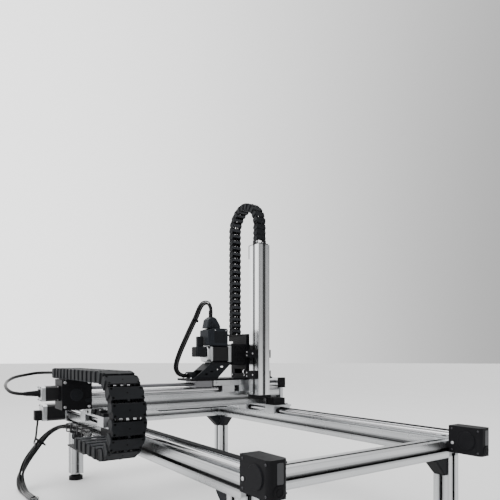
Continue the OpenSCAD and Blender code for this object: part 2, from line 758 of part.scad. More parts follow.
// Point t of a smooth curve through points a, b, c and d, between b and c
function smooth(a, b, c, d, t) =
    0.5 * (2 * b + (c - a) * t + (2 * a - 5 * b + 4 * c - d) * t * t
    + (3 * b - a - 3 * c + d) * t * t * t);
function spline(p, n) = concat([for (i = [0:len(p) - 2], k = [0:n - 1])
    smooth(p[max(i - 1, 0)], p[i], p[i + 1], p[min(i + 2, len(p) - 1)], k / n)], [p[len(p) - 1]]);
function ring(centre, dir, r, sides) =
    let (side = unit(cross(dir, abs(dir[2]) > 0.9 ? [0, 1, 0] : [0, 0, 1])), up = cross(side, dir))
    [for (k = [0:sides - 1]) centre + r * (side * cos(k * 360 / sides) + up * sin(k * 360 / sides))];

// Round tube swept along a route
module tube(route, d, sides = 10) {
    n = len(route);
    points = [for (i = [0:n - 1]) each ring(route[i], bend_at(route, i), d / 2, sides)];
    faces = concat(
        [[for (k = [0:sides - 1]) k]],
        [for (i = [0:n - 2], k = [0:sides - 1]) let (a = i * sides + k, b = i * sides + (k + 1) % sides)
            [a, a + sides, b + sides, b]],
        [[for (k = [sides - 1:-1:0]) (n - 1) * sides + k]]);
    polyhedron(points, faces, convexity = 10);
}

module cable_bundle() color(plastic) {
    tube(BUNDLE_ROUTE, bundle_d);
    tube(X_CABLE_ROUTE, x_cable_d, 8);
}

// Cable from the chain to the Y motor, with its moulded plug
module y_motor_cable() color(plastic) {
    tube(Y_CABLE_ROUTE, y_cable_d, 8);
    along_y(y_plug_end, y_motor_end) translate([gantry_x, y_motor_z + 1]) circle(d = 15);
}
module z_motor_cables() color(plastic) tube(Z_CABLE_ROUTE, z_cable_d, 8);

module cable_coil() color(plastic)
    translate([coil_mid[0], coil_mid[1], 0]) rotate_extrude($fn = 64)
        translate([coil_r - bundle_d / 2, 0]) square([bundle_d, coil_turns * coil_pitch + 2]);

// Six round connectors lying in a ring on the floor within the coil
module cable_plugs() color(plastic)
    for (k = [0:5])
        translate([coil_mid[0], coil_mid[1], plug_d / 2]) rotate(-107 - 60 * k)
            translate([0, 52, 0]) rotate([0, 90, 0]) cylinder(d = plug_d, h = 46, center = true);

// ---- Nodes ----

placed() x_profiles();
placed() cross_members();
placed() legs();
placed() levelling_feet();
placed() corner_brackets();
placed() x_rails();
placed() x_shafts();
placed() x_belts();
placed() end_blocks();
placed() block_covers();
placed() x_motor_body();
placed() x_motor_caps();
placed() chain_shelf();
placed() x_chain_lower_run();
placed() cable_bundle();
placed() cable_coil();
placed() cable_plugs();
placed() x_drive_shaft();
placed() idler_pulley_near();
placed() idler_pulley_far();
placed() x_carriage_plates();
placed() x_bearing_blocks();
placed() x_bearing_sleeves();
placed() beam_profile();
placed() y_rail();
placed() y_shafts();
placed() y_drive_housing();
placed() y_end_block();
placed() y_motor_body();
placed() y_motor_caps();
placed() y_motor_cable();
placed() limit_switches();
placed() y_chain_lower_run();
placed() y_chain_bend();
placed() y_chain_upper_run();
placed() x_chain_upper_run();
placed() x_chain_moving_end();
placed() x_chain_bend();
placed() lead_screw();
placed() y_carriage_body();
placed() base_plate();
placed() y_bearing_blocks();
placed() y_bearing_sleeves();
placed() screw_nut();
placed() z_drive_housing();
placed() coupling_housing();
placed() z_motor_body();
placed() z_motor_caps();
placed() z_encoder_housing();
placed() cable_tray();
placed() guide_blocks();
placed() z_motor_cables();
placed() z_chain_fixed_run();
placed() z_pinion();
placed() z_column();
placed() z_rack();
placed() tool_flange();
placed() z_chain_clamp();
placed() z_chain_column_run();
placed() z_chain_bend();
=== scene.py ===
"""Looks of the three-axis gantry robot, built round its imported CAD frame."""
import math

import bmesh
import bpy
from mathutils import Matrix, Vector


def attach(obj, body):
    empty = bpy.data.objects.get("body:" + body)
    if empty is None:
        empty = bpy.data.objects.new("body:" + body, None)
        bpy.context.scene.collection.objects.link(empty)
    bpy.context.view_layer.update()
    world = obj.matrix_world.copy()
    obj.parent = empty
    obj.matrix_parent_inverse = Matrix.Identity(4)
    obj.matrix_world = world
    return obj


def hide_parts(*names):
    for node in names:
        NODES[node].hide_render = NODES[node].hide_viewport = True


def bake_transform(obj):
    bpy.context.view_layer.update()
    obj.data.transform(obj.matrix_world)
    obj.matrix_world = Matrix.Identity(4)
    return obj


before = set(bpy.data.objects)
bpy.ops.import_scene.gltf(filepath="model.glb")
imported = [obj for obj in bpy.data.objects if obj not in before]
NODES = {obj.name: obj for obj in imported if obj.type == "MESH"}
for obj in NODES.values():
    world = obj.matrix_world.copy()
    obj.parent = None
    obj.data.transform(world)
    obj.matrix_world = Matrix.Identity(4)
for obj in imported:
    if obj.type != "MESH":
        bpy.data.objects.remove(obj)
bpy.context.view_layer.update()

MM = 0.001
CENTRE_Y = 56.5  # the machine's own middle stands this far from the row frame's, in mm
X_AXIS, Y_AXIS, Z_AXIS = Vector((1, 0, 0)), Vector((0, 1, 0)), Vector((0, 0, 1))
LEG_X, LEG_Y = 511, 297  # middle of each leg, and of the profiles above it
BLOCK_FACE = 609  # outer face of the end blocks
BEAM_X = -220  # middle of the cross beam
COLUMN_X, COLUMN_Y = -129, 212  # middle of the column


def P(x, y, z):
    """A point of the machine in mm as a point of the row frame in metres."""
    return Vector((x * MM, (y + CENTRE_Y) * MM, z * MM))


# ---------------------------------------------------------------- camera, room and light

CAMERA = P(1188.3, -763.0, 419.2)
FORWARD = Vector((-0.8256, 0.5643, 0.0)).normalized()
RIGHT = FORWARD.cross(Z_AXIS)

camera = bpy.data.objects.new("camera", bpy.data.cameras.new("camera"))
bpy.context.scene.collection.objects.link(camera)
camera.matrix_world = Matrix.Translation(CAMERA) @ Matrix(
    (RIGHT, Z_AXIS, -FORWARD)).transposed().to_4x4()
camera.data.lens = 34.56
camera.data.sensor_width = 36
camera.data.shift_x = 0.0173
camera.data.shift_y = 0.2163
camera.data.clip_start, camera.data.clip_end = 0.02, 60
bpy.context.scene.camera = camera


def link(obj):
    bpy.context.scene.collection.objects.link(obj)
    return obj


def area_light(name, place, aim, size, power, colour=(1, 1, 1)):
    data = bpy.data.lights.new(name, "AREA")
    data.shape, data.size, data.size_y = "RECTANGLE", size[0], size[1]
    data.energy, data.color = power, colour
    lamp = link(bpy.data.objects.new(name, data))
    lamp.location = place
    lamp.rotation_euler = (Vector(aim) - Vector(place)).to_track_quat("-Z", "Y").to_euler()
    return lamp


# ---------------------------------------------------------------- materials


class Nodes:
    """Short ways to add nodes to one material, new or already made."""

    def __init__(self, name, material=None):
        self.material = material or bpy.data.materials.new(name)
        self.material.use_nodes = True
        self.tree = self.material.node_tree
        self.shader = self.tree.nodes["Principled BSDF"]
        self.place = self.tree.nodes.new("ShaderNodeTexCoord").outputs["Object"]

    def join(self, a, b):
        self.tree.links.new(a, b)

    def scaled(self, scale):
        mapping = self.tree.nodes.new("ShaderNodeMapping")
        mapping.inputs["Scale"].default_value = scale
        self.join(self.place, mapping.inputs["Vector"])
        return mapping.outputs["Vector"]

    def noise(self, scale, detail=3.0, rough=0.5):
        made = self.tree.nodes.new("ShaderNodeTexNoise")
        made.inputs["Scale"].default_value = 1.0
        made.inputs["Detail"].default_value = detail
        made.inputs["Roughness"].default_value = rough
        scale = scale if hasattr(scale, "__len__") else (scale, scale, scale)
        self.join(self.scaled(scale), made.inputs["Vector"])
        return made.outputs["Fac"]

    def ramp(self, fac, stops):
        made = self.tree.nodes.new("ShaderNodeValToRGB")
        ends = made.color_ramp.elements
        for k, (at, colour) in enumerate(stops):
            stop = ends[k] if k < 2 else ends.new(at)
            stop.position, stop.color = at, (*colour, 1)
        self.join(fac, made.inputs["Fac"])
        return made.outputs["Color"]

    def span(self, fac, low, high):
        made = self.tree.nodes.new("ShaderNodeMapRange")
        made.inputs["From Min"].default_value = 0.3
        made.inputs["From Max"].default_value = 0.7
        made.inputs["To Min"].default_value = low
        made.inputs["To Max"].default_value = high
        self.join(fac, made.inputs["Value"])
        return made.outputs["Result"]

    def bump(self, fac, height):
        made = self.tree.nodes.new("ShaderNodeBump")
        made.inputs["Strength"].default_value = 1.0
        made.inputs["Distance"].default_value = height
        self.join(fac, made.inputs["Height"])
        return made.outputs["Normal"]

    def calc(self, kind, a, b=0.0):
        made = self.tree.nodes.new("ShaderNodeMath")
        made.operation = kind
        for socket, value in zip(made.inputs, (a, b)):
            if isinstance(value, float):
                socket.default_value = value
            else:
                self.join(value, socket)
        return made.outputs["Value"]

    def multiplied(self, a, b):
        made = self.tree.nodes.new("ShaderNodeMix")
        made.data_type, made.blend_type = "RGBA", "MULTIPLY"
        made.inputs["Factor"].default_value = 1.0
        self.join(a, made.inputs["A"])
        self.join(b, made.inputs["B"])
        return made.outputs["Result"]


def shade(colour, factor):
    return tuple(min(1.0, c * factor) for c in colour)


def metal(name, colour, rough, streak=(60, 60, 60), grain=1500, height=0.00001, vary=0.05):
    """Metal with streaks drawn out along an axis, slight clouding and a fine grain."""
    n = Nodes(name)
    streaks, cloud = n.noise(streak, 4.0, 0.6), n.noise(9.0, 3.0)
    n.join(n.ramp(streaks, [(0.3, shade(colour, 1 - vary)), (0.7, shade(colour, 1 + vary))]),
           n.shader.inputs["Base Color"])
    n.join(n.span(cloud, rough * 0.86, rough * 1.14), n.shader.inputs["Roughness"])
    n.join(n.bump(n.noise(grain, 2.0), height), n.shader.inputs["Normal"])
    n.shader.inputs["Metallic"].default_value = 1.0
    return n.material


GROOVE_SHADE_LEVEL = 0.45  # painted shade: brightness at the bottom of a groove
LIP_REACH = 20  # mm from a groove's middle to where its painted light and shade across the lips ends
# (share of LIP_REACH from the groove's middle, brightness) of the painted light and shade across a groove's
# lips and lands
LIP_SHADE_BANDS = [(0.20, 0.50), (0.31, 0.68), (0.38, 0.72), (0.46, 1.0), (0.84, 1.0), (0.92, 0.80),
             (1.0, 0.92)]


def slotted(name, colour, rough, streak, *sides):
    """Slotted profile: bright skin with painted shade inside the grooves and painted light and shade across
    their lips and lands. Each side is (axis, mirrored about the middle, centre, half width), in mm of the
    machine."""
    n = Nodes(name, metal(name, colour, rough, streak))
    split = n.tree.nodes.new("ShaderNodeSeparateXYZ")
    n.join(n.place, split.inputs["Vector"])
    deep, offs = [], []
    for axis, mirrored, centre, half in sides:
        value = split.outputs["XYZ".index(axis)]
        if axis == "Y":
            value = n.calc("SUBTRACT", value, CENTRE_Y * MM)
        if mirrored:
            value = n.calc("ABSOLUTE", value)
        off = n.calc("ABSOLUTE", n.calc("SUBTRACT", value, centre * MM))
        deep.append(n.calc("SUBTRACT", half * MM, off))
        offs.append(off)
    # painted shade: the base colour darkens inside each groove, deepest at its bottom
    groove = n.tree.nodes.new("ShaderNodeMapRange")
    for socket, value in (("From Min", 0.0004), ("From Max", 0.004), ("To Min", 1.0),
                          ("To Max", GROOVE_SHADE_LEVEL)):
        groove.inputs[socket].default_value = value
    n.join(n.calc("MINIMUM", *deep), groove.inputs["Value"])
    across = n.tree.nodes.new("ShaderNodeMapRange")
    across.inputs["From Max"].default_value = LIP_REACH * MM
    n.join(n.calc("MINIMUM", *offs), across.inputs["Value"])
    # painted light and shade across the lips: bright lands, darker groove slopes and face edges
    lip_shade = n.tree.nodes.new("ShaderNodeValToRGB")
    ends = lip_shade.color_ramp.elements
    for k, (at, level) in enumerate(LIP_SHADE_BANDS):
        last = k == len(LIP_SHADE_BANDS) - 1
        stop = ends[0] if k == 0 else ends[-1] if last else ends.new(at)
        stop.position, stop.color = at, (level, level, level, 1)
    n.join(across.outputs["Result"], lip_shade.inputs["Fac"])
    skin = n.shader.inputs["Base Color"].links[0].from_socket
    shaded = n.multiplied(skin, groove.outputs["Result"])
    n.join(n.multiplied(shaded, lip_shade.outputs["Color"]), n.shader.inputs["Base Color"])
    return n.material


def plastic(name, colour, rough, grain=1200, height=0.00002, vary=0.12, scuff=0.25, gloss=0.05):
    """Moulded plastic or paint: fine grain, cloudy gloss and faint paler scuffs."""
    n = Nodes(name)
    cloud, marks = n.noise(14.0, 4.0), n.noise((90, 90, 320), 5.0, 0.7)
    body = n.ramp(cloud, [(0.3, shade(colour, 1 - vary)), (0.7, shade(colour, 1 + vary))])
    pale = n.ramp(marks, [(0.62, (0, 0, 0)), (0.8, (scuff, scuff, scuff))])
    mix = n.tree.nodes.new("ShaderNodeMix")
    mix.data_type = "RGBA"
    n.join(pale, mix.inputs["Factor"])
    n.join(body, mix.inputs["A"])
    mix.inputs["B"].default_value = (*shade(colour, 1.9), 1)
    n.join(mix.outputs["Result"], n.shader.inputs["Base Color"])
    n.join(n.span(cloud, rough * 0.9, rough * 1.1), n.shader.inputs["Roughness"])
    n.join(n.bump(n.noise(grain, 3.0), height), n.shader.inputs["Normal"])
    n.shader.inputs["Specular IOR Level"].default_value = gloss
    return n.material


def laminated(name, colour, rough):
    """Stack of thin dark steel sheets across Y, seen as fine lines."""
    n = Nodes(name)
    wave = n.tree.nodes.new("ShaderNodeTexWave")
    wave.bands_direction = "Y"
    wave.inputs["Scale"].default_value = 160.0
    wave.inputs["Distortion"].default_value = 0.0
    n.join(n.place, wave.inputs["Vector"])
    n.join(n.ramp(wave.outputs["Fac"], [(0.1, shade(colour, 0.8)), (0.8, shade(colour, 1.15))]),
           n.shader.inputs["Base Color"])
    n.join(n.span(n.noise(20.0), rough * 0.9, rough * 1.1), n.shader.inputs["Roughness"])
    n.join(n.bump(wave.outputs["Fac"], 0.00006), n.shader.inputs["Normal"])
    n.shader.inputs["Specular IOR Level"].default_value = 0.25
    return n.material


ALU = (0.55, 0.56, 0.57)
RAIL_X = metal("anodised_rail_x", ALU, 0.27, (3, 260, 260))
RAIL_Y = metal("anodised_rail_y", ALU, 0.27, (260, 3, 260))
# the slotted looks carry painted groove shade and painted light and shade across the lips
PROFILE_X = slotted("slotted_x", ALU, 0.27, (3, 260, 260), ("Y", True, LEG_Y, 20),
                    ("Z", False, 205, 20))
PROFILE_Y = slotted("slotted_y", ALU, 0.27, (260, 3, 260), ("X", True, LEG_X, 20),
                    ("Z", False, 205, 20))
LEG_Z = slotted("slotted_leg", ALU, 0.27, (260, 260, 3), ("X", True, LEG_X, 20),
                ("Y", True, LEG_Y, 20))
BEAM_Y = slotted("slotted_beam", ALU, 0.25, (260, 3, 260), ("X", False, BEAM_X, 30),
                 ("Z", False, 281, 24))
COLUMN_Z = slotted("slotted_column", (0.74, 0.75, 0.76), 0.23, (260, 260, 3),
                   ("X", False, COLUMN_X, 26.5), ("Y", False, COLUMN_Y, 23))
MILLED = metal("milled_aluminium", (0.52, 0.53, 0.54), 0.3, (40, 700, 40), vary=0.04)
CAST = metal("cast_caps", (0.50, 0.51, 0.52), 0.42, grain=900, height=0.00004)
STEEL = metal("ground_steel", (0.48, 0.48, 0.49), 0.18, (3, 400, 400))
BOLT = metal("bolt_steel", (0.55, 0.55, 0.56), 0.3, (300, 300, 300))
DARK_BOLT = metal("dark_bolt", (0.06, 0.06, 0.065), 0.38, (300, 300, 300))
SCREW_STEEL = metal("screw_steel", (0.20, 0.20, 0.21), 0.3, (400, 30, 400))
BLACK = plastic("black_anodised", (0.008, 0.008, 0.009), 0.42, grain=1800, height=0.000012)
MOULDED = plastic("moulded_black", (0.010, 0.010, 0.011), 0.5)
COVER = plastic("cover_plastic", (0.013, 0.014, 0.016), 0.48)
GREY = plastic("moulded_grey", (0.019, 0.0215, 0.026), 0.45)
CHAIN = plastic("chain_plastic", (0.014, 0.015, 0.0165), 0.55, grain=900, height=0.00003)
CHEEK = plastic("chain_inner_cheek", (0.006, 0.006, 0.007), 0.6, grain=900, height=0.00003)
CHAIN_BAR = plastic("chain_crossbar", (0.034, 0.036, 0.040), 0.5, grain=900, height=0.00003)
# painted shade: near-black discs stand in for the shade inside small pits in the chain lids
HOLE_SHADE = plastic("painted_hole_shade", (0.001, 0.001, 0.001), 0.9, gloss=0.05)
RUBBER = plastic("belt_rubber", (0.006, 0.006, 0.007), 0.62, grain=700, height=0.00006)
SHEATH = plastic("cable_sheath", (0.003, 0.003, 0.0035), 0.26, grain=300, height=0.00003,
                 gloss=0.22)
TIE = plastic("tie_nylon", (0.006, 0.006, 0.007), 0.4)
STATOR = laminated("stator_steel", (0.005, 0.005, 0.006), 0.36)
LABEL = plastic("blank_plate", (0.028, 0.029, 0.032), 0.3, scuff=0.1, gloss=0.35)

CAD_LOOKS = {
    PROFILE_X: ["x_profiles"],
    PROFILE_Y: ["cross_members"],
    LEG_Z: ["legs"],
    BEAM_Y: ["beam_profile"],
    COLUMN_Z: ["z_column"],
    RAIL_X: ["x_rails"],
    RAIL_Y: ["y_rail"],
    MILLED: ["x_carriage_plates", "x_bearing_blocks", "y_end_block", "y_carriage_body",
             "y_bearing_blocks"],
    STEEL: ["x_shafts", "y_shafts", "x_drive_shaft", "idler_pulley_near", "idler_pulley_far",
            "z_rack", "z_pinion"],
    SCREW_STEEL: ["screw_nut", "lead_screw"],
    BLACK: ["end_blocks", "y_drive_housing", "z_drive_housing", "coupling_housing", "base_plate",
            "guide_blocks", "tool_flange", "z_chain_clamp", "chain_shelf"],
    COVER: ["block_covers", "cable_tray"],
    MOULDED: ["levelling_feet", "corner_brackets", "limit_switches", "x_bearing_sleeves",
              "y_bearing_sleeves", "cable_plugs"],
    CHAIN: ["x_chain_moving_end"],
    RUBBER: ["x_belts"],
    GREY: ["z_encoder_housing"],
    STATOR: ["x_motor_body", "y_motor_body", "z_motor_body"],
    CAST: ["x_motor_caps", "y_motor_caps", "z_motor_caps"],
}
for look, names in CAD_LOOKS.items():
    for node_name in names:
        mesh = NODES[node_name].data
        mesh.materials.clear()
        mesh.materials.append(look)


# ---------------------------------------------------------------- mesh building


def block(low, high, c=0.6):
    """Box between two corners with chamfered edges, as (points, faces)."""
    points, at = [], {}
    for s in [(i, j, k) for i in (0, 1) for j in (0, 1) for k in (0, 1)]:
        for face in range(3):
            at[(*s, face)] = len(points)
            points.append([(high[a] if s[a] else low[a])
                           + (0 if a == face else (-c if s[a] else c)) for a in range(3)])
    faces = []
    for face in range(3):
        u, v = (face + 1) % 3, (face + 2) % 3
        for side in (0, 1):
            ring = []
            for i, j in ((0, 0), (1, 0), (1, 1), (0, 1)):
                s = [0, 0, 0]
                s[face], s[u], s[v] = side, i, j
                ring.append(at[(*s, face)])
            faces.append(ring)
        for i in (0, 1):
            for j in (0, 1):
                s, t = [0, 0, 0], [0, 0, 0]
                s[u], s[v], t[u], t[v] = i, j, i, j
                t[face] = 1
                faces.append([at[(*s, u)], at[(*t, u)], at[(*t, v)], at[(*s, v)]])
    for s in [(i, j, k) for i in (0, 1) for j in (0, 1) for k in (0, 1)]:
        faces.append([at[(*s, face)] for face in range(3)])
    return points, faces


def inset(outline, c):
    """A counter-clockwise outline moved inwards by c."""
    made, n = [], len(outline)
    for k in range(n):
        a, b, d = (Vector(outline[(k + s) % n]) for s in (-1, 0, 1))
        e, f = (b - a).normalized(), (d - b).normalized()
        left = Vector((-e.y, e.x)) + Vector((-f.y, f.x))
        made.append(tuple(b + left * (c / max(0.3, left.dot(Vector((-e.y, e.x)))))))
    return made


def rings_joined(count, sides):
    """Faces of a closed skin over count rings of points, with both ends capped."""
    faces = [[k * sides + i, k * sides + (i + 1) % sides, (k + 1) * sides + (i + 1) % sides,
              (k + 1) * sides + i] for k in range(count - 1) for i in range(sides)]
    return faces + [list(range(sides))[::-1], [(count - 1) * sides + i for i in range(sides)]]


def prism(outline, a, b, c=0.6):
    """An outline (x, y) drawn out along Z from a to b, with chamfered rims."""
    rings = [(inset(outline, c), a), (outline, a + c), (outline, b - c), (inset(outline, c), b)]
    points = [(p[0], p[1], z) for ring, z in rings for p in ring]
    return points, rings_joined(len(rings), len(outline))


def lathe(profile, sides=24):
    """Turned shape about Z from (radius, height) steps; a third value makes that step a hexagon."""
    points = []
    for step in profile:
        for i in range(sides):
            a = 2 * math.pi * i / sides
            r = step[0]
            if len(step) > 2:
                r *= math.cos(math.pi / 6) / math.cos(a % (math.pi / 3) - math.pi / 6)
            points.append((r * math.cos(a), r * math.sin(a), step[1]))
    return points, rings_joined(len(profile), sides)


def rounded(w, h, r, n=4):
    """Rectangle w by h about the origin with round corners, counter-clockwise."""
    return [(sx * (w / 2 - r) + r * math.cos(a), sy * (h / 2 - r) + r * math.sin(a))
            for sx, sy, start in ((1, 1, 0), (-1, 1, 90), (-1, -1, 180), (1, -1, 270))
            for a in [math.radians(start + 90 * k / n) for k in range(n + 1)]]


def cut_square(w, c):
    """Square of side w with its corners cut by c, counter-clockwise."""
    h = w / 2
    return [(h, c - h), (h, h - c), (h - c, h), (c - h, h), (-h, h - c), (-h, c - h),
            (c - h, -h), (h - c, -h)]


def aligned(place, out, across=None):
    """Matrix that puts a shape's origin at a place, its Z along out and its X along across."""
    z = Vector(out).normalized()
    x = Vector(across) if across else (Z_AXIS if abs(z.z) < 0.9 else X_AXIS)
    x = (x - z * x.dot(z)).normalized()
    y = z.cross(x)
    m = Matrix((x, y, z)).transposed().to_4x4()
    m.translation = Vector(place)
    return m


class Part:
    """Gathers shapes in the machine's mm and makes one piece of them."""

    def __init__(self):
        self.points, self.faces, self.looks, self.used = [], [], [], []

    def add(self, shape, look, at=None):
        points, faces = shape
        base = len(self.points)
        at = at or Matrix.Identity(4)
        self.points += [at @ Vector(p) for p in points]
        if look not in self.used:
            self.used.append(look)
        self.faces += [[base + i for i in f] for f in faces]
        self.looks += [self.used.index(look)] * len(faces)
        return self

    def make(self, name, slot=None, smooth=38):
        mesh = bpy.data.meshes.new(name)
        mesh.from_pydata([P(*p) for p in self.points], [], self.faces)
        for look in self.used:
            mesh.materials.append(look)
        mesh.polygons.foreach_set("material_index", self.looks)
        bm = bmesh.new()
        bm.from_mesh(mesh)
        bmesh.ops.recalc_face_normals(bm, faces=bm.faces)
        bm.to_mesh(mesh)
        bm.free()
        mesh.polygons.foreach_set("use_smooth", [True] * len(mesh.polygons))
        mesh.set_sharp_from_angle(angle=math.radians(smooth))
        obj = link(bpy.data.objects.new(name, mesh))
        return obj


def socket_screw(d=8.5, h=5.0):
    """Cap screw head standing on z = 0, with its hexagon socket."""
    r = d / 2
    return lathe([(r, 0), (r, h - 0.7), (r - 0.7, h), (r * 0.55, h, 1), (r * 0.55, h * 0.45, 1)])


def screws(part, places, out, d=8.5, h=5.0, look=None):
    for place in places:
        part.add(socket_screw(d, h), look or BOLT, aligned(place, out))
    return part


# ---------------------------------------------------------------- cords


def smooth_line(route, step=5.0):
    """Catmull-Rom curve through given points, at roughly even steps in mm."""
    route = [Vector(p) for p in route]
    line = []
    for i in range(len(route) - 1):
        a, b = route[max(i - 1, 0)], route[i]
        c, d = route[i + 1], route[min(i + 2, len(route) - 1)]
        n = max(2, round((c - b).length / step))
        for k in range(n):
            t = k / n
            line.append(0.5 * (2 * b + (c - a) * t + (2 * a - 5 * b + 4 * c - d) * t * t
                               + (3 * b - a - 3 * c + d) * t ** 3))
    return line + [route[-1]]


def tube(name, line, d, look, sides=12):
    """Round mesh tube along a line in mm, with level side vectors carried along it."""
    points, up = [], None
    for i, p in enumerate(line):
        tangent = (line[min(i + 1, len(line) - 1)] - line[max(i - 1, 0)]).normalized()
        if up is None:
            up = Z_AXIS if abs(tangent.z) < 0.9 else X_AXIS
        side = tangent.cross(up).normalized()
        up = side.cross(tangent).normalized()
        for k in range(sides):
            a = 2 * math.pi * k / sides
            points.append(p + d / 2 * (side * math.cos(a) + up * math.sin(a)))
    skin = (points, rings_joined(len(line), sides))
    return Part().add(skin, look).make(name, "cable_sheath")


def smoothstep(t):
    t = max(0.0, min(1.0, t))
    return t * t * (3 - 2 * t)


BUNDLE_ROUTE = [
    (-112, -375, 197), (-150, -373, 197), (-190, -356, 197), (-230, -337, 197), (-290, -331, 197),
    (-350, -331, 196), (-410, -331, 193), (-455, -332, 190), (-482, -344, 190), (-496, -368, 184),
    (-498, -400, 160), (-492, -432, 124), (-482, -463, 84), (-470, -481, 45), (-445, -483, 18),
    (-400, -479, 11), (-350, -476, 11), (-300, -473, 11), (-250, -474, 11), (-200, -478, 11),
    (-155, -481, 11), (-112, -482, 11)]
X_CABLE_ROUTE = [
    (-575, -409, 204.5), (-575, -409.5, 195), (-572, -412, 180), (-560, -416, 164),
    (-542, -422, 149), (-522, -430, 137)]
Y_CABLE_ROUTE = [
    (-344, -392, 374), (-372, -398, 374), (-395, -415, 374), (-405, -445, 373), (-395, -480, 368),
    (-360, -515, 363), (-320, -540, 354), (-280, -552, 345), (-250, -553, 336), (-228, -546, 328),
    (-220, -532, 324), (-220, -514, 322)]
Z_CABLE_ROUTE = [
    (-205, 64, 555), (-205, 64, 575), (-206, 61, 592), (-206, 52, 602), (-207, 38, 600),
    (-207, 25, 585), (-208, 12, 555), (-209, -6, 520), (-210, -26, 480), (-211, -45, 440),
    (-212, -58, 405), (-212, -60, 385), (-212, -52, 371), (-211, -36, 364), (-210, -18, 363)]
CABLE_D = 6.9
COIL_MID = Vector((-112, -560, 0))
COIL_R, LEVEL = 78.0, 12.5
PLUG_R, PLUG_L, PLUG_D = 52.0, 46.0, 18.0
JOIN = 11  # the X motor's cable joins the bundle at this point of its route
# place of each cable in the bundle: (across towards the coil's outside, up), in mm
ROW, LANE = 3.15, 6.6
STRANDS = [(lane * LANE, row * ROW) for lane in (-1, 0, 1) for row in (-1, 1)]
# the same for the stretch where the cables hang loose, from this point of the route on
LOOSE = [(-10, -8.5), (5, -6), (-7, -1.5), (8, 2), (-3, 6.5), (10, 9)]
LOOSE_FROM, LOOSE_SPAN = 8, 6.8
ON_FLOOR = 15  # from this point of the route on the bundle lies on the floor
FLOOR_GAP = 0.1
COIL_STEPS = 40  # points of a turn
CLIMB_AT, CLIMB = 0.80, 0.075  # where in a turn a cable climbs one level, and for how long
FIRST_OUT = 1.93  # turns after which the first cable leaves the coil; the next ones follow
INWARD, END_R, END_Z = 0.27, 60.0, 11.0  # part of a turn, radius and height of the way inwards
PLUG_AFTER = 0.3663  # part of a turn from there to the middle of the plug

# place and diameter of each Z motor lead: (across, out of the loop, diameter), in mm
Z_STRANDS = [(-4.2, -1.0, 7.0), (3.8, 1.0, 7.0), (-0.4, -4.8, 4.4)]


def coil_angle(turns):
    return math.pi / 2 - 2 * math.pi * turns


def coil_line(across, up, leave):
    """The coiled part of a strand: level turns with short ramps, then down into the middle."""
    line = []
    for k in range(1, int((leave + INWARD) * COIL_STEPS) + 1):
        t = k / COIL_STEPS
        level = sum(LEVEL * smoothstep((t - turn - CLIMB_AT) / CLIMB) for turn in (0, 1))
        drop = smoothstep((t - leave) / INWARD)
        r = (COIL_R + across) * (1 - drop) + END_R * drop
        z = (CABLE_D / 2 + FLOOR_GAP + (up + ROW) + level) * (1 - drop) + END_Z * drop
        a = coil_angle(t)
        line.append(COIL_MID + Vector((r * math.cos(a), r * math.sin(a), z)))
    return line


def bundle_line(j):
    """Path of cable j: along the bundle, round the coil and in to its plug."""
    across, up = STRANDS[j]
    route = [Vector(p) for p in BUNDLE_ROUTE]
    points = [Vector(p) for p in X_CABLE_ROUTE] if j == 5 else []
    floor = CABLE_D / 2 + (up + ROW) + FLOOR_GAP
    for i in range(JOIN if j == 5 else 0, len(route)):
        tangent = (route[min(i + 1, len(route) - 1)] - route[max(i - 1, 0)]).normalized()
        side = Vector((-tangent.y, tangent.x, 0))
        side = side.normalized() if side.length > 0.05 else Vector((0, 1, 0))
        rise = side.cross(tangent).normalized() * -1
        if rise.z < 0:
            rise = -rise
        slack = math.sin(math.pi * max(0.0, min(1.0, (i - LOOSE_FROM) / LOOSE_SPAN))) ** 0.7
        p = route[i] + (side * (across + (LOOSE[j][0] - across) * slack)
                        + rise * (up + (LOOSE[j][1] - up) * slack))
        points.append(Vector((p.x, p.y, floor if i >= ON_FLOOR else max(p.z, floor))))
    leave = FIRST_OUT + j / 6
    points += coil_line(across, up, leave)[::2]
    angle = coil_angle(leave + PLUG_AFTER)
    out = Vector((math.cos(angle), math.sin(angle), 0))
    along = Vector((out.y, -out.x, 0))
    plug = COIL_MID + out * PLUG_R + Z_AXIS * PLUG_D / 2
    points += [plug - along * (PLUG_L / 2 + 10), plug - along * (PLUG_L / 2 - 4)]
    line = smooth_line(points)
    for p in line:
        p.z = max(p.z, CABLE_D / 2 + FLOOR_GAP)
    return line, plug, along


def connector(name, place, along):
    """Round cable plug: ribbed rear sleeve, grip ring and a bare metal nose."""
    r, half = PLUG_D / 2, PLUG_L / 2
    ribs = [(r * 0.55 + 0.5 * (k % 2), -half + 1 + 1.6 * k) for k in range(7)]
    body = [(r * 0.42, -half)] + ribs + [(r * 0.9, -half + 13), (r, -half + 14.5)]
    for k in range(5):
        body += [(r, -half + 15 + 2.6 * k), (r - 0.7, -half + 15.8 + 2.6 * k),
                 (r - 0.7, -half + 16.6 + 2.6 * k), (r, -half + 17.4 + 2.6 * k)]
    body += [(r, half - 16), (r - 1, half - 15), (r - 1.2, half - 11)]
    part = Part().add(lathe(body, 28), MOULDED, aligned(place, along))
    nose = [(r - 2, half - 12), (r - 2, half - 1), (r - 2.6, half), (r - 3.4, half),
            (r - 3.4, half - 6)]
    return part.add(lathe(nose, 28), BOLT, aligned(place, along)).make(name, "moulded_black")


